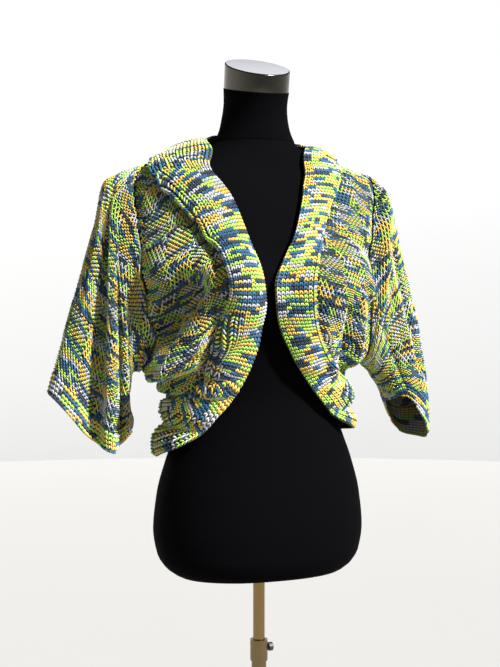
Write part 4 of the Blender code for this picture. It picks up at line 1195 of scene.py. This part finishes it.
def make_body(yarn, cloth):
    made = {}
    for side, name, seed in ((RIGHT, "front_right", 11), (LEFT, "front_left", 23)):
        angle, height = front_panel(side)
        slope = FRONT_SLOPE[side]
        outline = grid_outline(side * angle, height - slope * (SIDE_TURN - side * angle))

        def surface(turn, level, side=side, slope=slope):
            return body_surface(side * turn, level + slope * (SIDE_TURN - turn))

        turns, levels = np.linspace(*FRONT_TURNS), np.linspace(*FRONT_LEVELS)
        layout = Layout(surface, turns, levels, SIDE_TURN, FIRST_COURSE, BODY_LEVEL)
        made[name] = knit_panel(
            name, (angle, height), layout, outline, seed, yarn, cloth, FRONT_SIDES
        )
    angle, height = back_panel()
    turns, levels = np.linspace(*BACK_TURNS), np.linspace(*BACK_LEVELS)
    layout = Layout(
        lambda turn, level: body_surface(-turn, level),
        turns, levels, BACK_TURN, FIRST_COURSE, BODY_LEVEL,
    )
    outline = grid_outline(-angle, height)
    made["back"] = knit_panel(
        "back", (angle, height), layout, outline, 37, yarn, cloth, BACK_SIDES, halves=2
    )
    return made


def make_bands(yarn, cloth):
    made = {}
    across = np.concatenate([np.linspace(*BAND_ACROSS), np.linspace(*BAND_EDGE)])[:, None]
    for name, surface, trim, rows, seed, sides in (
        ("band_right", band_surface(RIGHT), BAND_TRIM, BAND_ROWS, 51, FRONT_SIDES),
        ("band_left", band_surface(LEFT), BAND_TRIM, BAND_ROWS, 67, FRONT_SIDES),
        ("band_hem", hem_surface, HEM_TRIM, HEM_ROWS, 83, BACK_SIDES),
    ):
        points, normals = surface(across, np.linspace(trim, 1 - trim, rows)[None, :])
        base = dress(shell(name + "_cloth", points, normals, cloth), name)
        place, wale, course = strip_place(surface)
        piece = stitches(name + "_stitches", place, wale, course, seed, yarn, sides=sides)
        made[name] = (base, [dress(piece, None)])
    return made


def make_sleeves(yarn, cloth):
    made = {}
    marks = np.linspace(0.0, 1.0, SLEEVE_STEPS, endpoint=False)
    layout_marks = np.linspace(*SLEEVE_MARKS)
    for side, part, word, seed in (
        (RIGHT, "sleeve", "right", 101), (RIGHT, "cuff", "right", 108),
        (LEFT, "sleeve", "left", 131), (LEFT, "cuff", "left", 138),
    ):
        name = part + "_" + word
        if part == "sleeve":
            first, last, rows, slot_name = 0.0, CUFF_FROM, SLEEVE_ROWS, "knit"
        else:
            first, last, rows, slot_name = CUFF_FROM, CUFF_TO, CUFF_ROWS, "rib"
        surface = sleeve_surface(side, first, last)
        points, normals = surface(marks[None, :], np.linspace(first, last, rows)[:, None])
        base = shell(name + "_cloth", points, normals, cloth, closed=True)
        dress(base, name)
        stations = np.linspace(first, last, SLEEVE_STATIONS)
        layout = Layout(surface, layout_marks, stations, 0.0, CUFF_FROM, SLEEVE_LEVEL)
        wale, course = layout.cells()
        kinds = block_kinds(wale, course) if part == "sleeve" else None
        piece = stitches(name + "_stitches", layout.place, wale, course, seed, yarn, kinds)
        made[name] = (base, [dress(piece, None)])
    return made


# The form and its cap
FORM_ROWS, FORM_STEPS, FORM_MARGIN = 110, 112, 0.0012
NECK_SEAM_HEIGHT, NECK_SEAM_WIDTH, NECK_SEAM_DEPTH = 1.405, 0.0022, 0.0010
NECK_SEAM_FROM, NECK_SEAM_TO, NECK_SEAM_ROWS = 1.397, 1.413, 17
CAP_STEPS, CAP_GAP, CAP_EDGE, CAP_EDGE_ROWS = 96, 0.0003, 0.0018, 4
SHARP_ANGLE = 40.0


def lofted(name, rings, materials, top_slot=0):
    """A closed body through level rings, whose top may have a material of its own."""
    rings = np.array(rings)
    count, steps = rings.shape[:2]
    vertices = np.concatenate([rings.reshape(-1, 3), rings[[0, -1]].mean(axis=1)])
    grid = ring_grid(count, steps)
    faces = grid_faces(grid)
    low, high = count * steps, count * steps + 1
    faces.append(np.stack([np.full(steps, low), grid[0, 1:], grid[0, :-1]], 1))
    faces.append(np.stack([np.full(steps, high), grid[-1, :-1], grid[-1, 1:]], 1))
    faces = np.concatenate(faces)
    slots = np.zeros(len(faces))
    slots[-steps:] = top_slot
    made = mesh_object(name, vertices, faces, materials, slots)
    made.data.set_sharp_from_angle(angle=math.radians(SHARP_ANGLE))
    return made


def make_form(jersey):
    """The form in its jersey, with a fine seam round the neck and a slanted top."""
    bottom, top, centre = FORM[0][0], FORM[-1][0], FORM[-1][4]
    heights = np.unique(np.concatenate([
        np.linspace(bottom, top, FORM_ROWS),
        np.linspace(NECK_SEAM_FROM, NECK_SEAM_TO, NECK_SEAM_ROWS),
        [row[0] for row in FORM],
    ]))
    angles = np.linspace(0.0, 360.0, FORM_STEPS, endpoint=False)
    rings = []
    for height in heights:
        inner = np.clip(height, bottom + FORM_MARGIN, top - FORM_MARGIN)
        out = surface_normal(form_point, angles, np.full_like(angles, inner))
        seam = ((height - NECK_SEAM_HEIGHT) / NECK_SEAM_WIDTH) ** 2
        ring = form_point(angles, np.full_like(angles, height))
        ring = ring - out * (NECK_SEAM_DEPTH * math.exp(-seam))
        share = max(0.0, (height - NECK_SLANT_FROM) / (top - NECK_SLANT_FROM))
        ring[:, 2] += share * math.tan(math.radians(NECK_SLANT)) * (ring[:, 1] - centre)
        rings.append(ring)
    return lofted("form_cover", rings, [jersey])


def make_cap(chrome, pale):
    """The chrome cap on the neck, with a small round edge and a pale top, which is a painted
    reflection.
    """
    turns = np.linspace(0.0, 2 * np.pi, CAP_STEPS, endpoint=False)
    rows = [(CAP_GAP, 0.0, NECK_SLANT)]
    for step in range(CAP_EDGE_ROWS + 1):
        a = math.pi / 2 * step / CAP_EDGE_ROWS
        height = CAP_HEIGHT - CAP_EDGE + CAP_EDGE * math.sin(a)
        rows.append((height, CAP_EDGE * (1 - math.cos(a)), CAP_SLANT))
    rings = []
    for height, inward, slant in rows:
        radius = CAP_RADIUS - inward
        x, y = radius * np.cos(turns), radius * np.sin(turns)
        z = FORM[-1][0] + height + math.tan(math.radians(slant)) * y
        lean = CAP_LEAN * height / CAP_HEIGHT
        rings.append(np.stack([x, FORM[-1][4] - lean + y, z], axis=1))
    return lofted("cap_cover", rings, [chrome, pale], top_slot=1)


# Camera, light and surroundings: angles in degrees, lengths in metres but for the sensor's
# millimetres, and pixels of the photograph. The wall glows most behind the object.
AZIMUTH, ELEVATION, DISTANCE = -20.0, 2.5, 2.1
TARGET_HEIGHT, FOCAL_PIXELS, AXIS_PIXEL = 1.10, 1312.5, 259.0
PICTURE_WIDTH, PICTURE_HEIGHT, SENSOR = 500.0, 667.0, 36.0
ROOM_RADIUS, ROOM_HEIGHT, ROOM_CORNER, ROOM_STEPS = 8.0, 4.2, 1.5, 96
GLOW_FRONT, GLOW_BACK, GLOW_LOW, GLOW_RISE = 0.26, 0.94, 0.74, 1.8
SUN_AZIMUTH, SUN_HEIGHT, SUN_WIDTH = 37.0, 44.0, 5.0
SUN_ENERGY, SUN_COLOUR, WORLD_STRENGTH = 11.8, (1.0, 0.98, 0.94), 0.03
WHITE = (1.0, 1.0, 1.0, 1.0)


def make_camera():
    a, e = math.radians(AZIMUTH), math.radians(ELEVATION)
    back = np.array([math.sin(a) * math.cos(e), -math.cos(a) * math.cos(e), math.sin(e)])
    right = np.array([math.cos(a), math.sin(a), 0.0])
    aside = right * (AXIS_PIXEL - PICTURE_WIDTH / 2) / FOCAL_PIXELS * DISTANCE
    data = bpy.data.cameras.new("camera")
    data.sensor_fit = "AUTO"
    data.sensor_width = SENSOR
    data.lens = FOCAL_PIXELS * SENSOR / PICTURE_HEIGHT
    camera = bpy.data.objects.new("camera", data)
    camera.location = np.array([0.0, 0.0, TARGET_HEIGHT]) + back * DISTANCE - aside
    camera.rotation_euler = (math.pi / 2 - e, 0.0, a)
    bpy.context.scene.collection.objects.link(camera)
    bpy.context.scene.camera = camera


def round_sheet(name, profile, material):
    """A round sheet through a profile of radius and height, from its middle outwards."""
    turns = np.linspace(0.0, 2 * np.pi, ROOM_STEPS, endpoint=False)
    rings = [
        np.stack([r * np.cos(turns), r * np.sin(turns), np.full(ROOM_STEPS, z)], axis=1)
        for r, z in profile
    ]
    faces = turned_over(grid_faces(ring_grid(len(profile), ROOM_STEPS)))
    sheet = mesh_object(name, np.concatenate(rings), np.concatenate(faces), [material])
    sheet.visible_shadow = False


def wall_material():
    """A wall that glows softly, most of all behind the object as the photograph shows it."""
    material, tree, shader = new_material("glowing_wall")
    _, y, z = split(tree, object_place(tree))
    glow, rise = (
        new_node(tree, "ShaderNodeMapRange", dict(enumerate(values))).outputs[0]
        for values in (
            (y, -ROOM_RADIUS, 0.6 * ROOM_RADIUS, GLOW_FRONT, GLOW_BACK),
            (z, 0.0, GLOW_RISE, GLOW_LOW, 1.0),
        )
    )
    # Painted light: the wall glows though it is no lamp, most behind the object and less near the
    # floor, over a nearly black base colour
    fill(tree, shader, {
        "Emission Strength": math_node(tree, "MULTIPLY", glow, rise),
        "Emission Color": WHITE, "Roughness": 0.95, "Specular IOR Level": 0.0,
        "Base Color": mixed_colour(
            tree, "MIX", noise(tree, PLAIN_GRAIN), WALL_DARK, WALL_LIGHT
        ),
    })
    return material


def make_surroundings():
    """A pale floor and a round wall, wide enough for the camera to go all round the object."""
    flat = ROOM_RADIUS - ROOM_CORNER
    pale = plain_material("pale_floor", FLOOR, FLOOR_ROUGHNESS)
    round_sheet("floor", [(0.0001, 0.0), (1.0, 0.0), (3.0, 0.0), (flat, 0.0)], pale)
    profile = []
    for a in np.linspace(0.0, math.pi / 2, 9):
        profile.append((flat + ROOM_CORNER * math.sin(a), ROOM_CORNER * (1 - math.cos(a))))
    round_sheet("wall", profile + [(ROOM_RADIUS, ROOM_HEIGHT)], wall_material())
    sun = bpy.data.lights.new("key", "SUN")
    sun.energy, sun.angle, sun.color = SUN_ENERGY, math.radians(SUN_WIDTH), SUN_COLOUR
    key = bpy.data.objects.new("key", sun)
    key.rotation_euler = (math.radians(90.0 - SUN_HEIGHT), 0.0, math.radians(SUN_AZIMUTH))
    scene = bpy.context.scene
    scene.collection.objects.link(key)
    scene.world = bpy.data.worlds.new("studio")
    scene.world.use_nodes = True
    tree = scene.world.node_tree
    fill(tree, tree.nodes["Background"], {"Color": WHITE, "Strength": WORLD_STRENGTH})
    scene.view_settings.view_transform = "Standard"


def main():
    yarn, cloth = yarn_material(), painted_shade_cloth_material()
    made = {
        **make_body(yarn, cloth), **make_bands(yarn, cloth), **make_sleeves(yarn, cloth)
    }
    dress(make_form(jersey_material()), "dress_form")
    # The cap's pale top is a painted reflection of the sky, not chrome
    pale = plain_material("cap_top_painted_reflection", CAP_TOP_PAINTED_REFLECTION, CAP_TOP_PAINTED_REFLECTION_ROUGHNESS)
    dress(make_cap(metal_material("dark_chrome"), pale), "neck_cap")
    steel = metal_material("brushed_steel")
    for node, material in (
        ("base_plate", metal_material("brushed_chrome")),
        # The pole's warm tint is a painted reflection on chrome
        ("upper_pole", metal_material("chrome_painted_warm_reflection")), ("lower_tube", steel),
        ("clamp_collar", steel), ("clamp_screw", knob_material()),
    ):
        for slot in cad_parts[node].material_slots:
            slot.material = material
    make_surroundings()
    make_camera()


main()
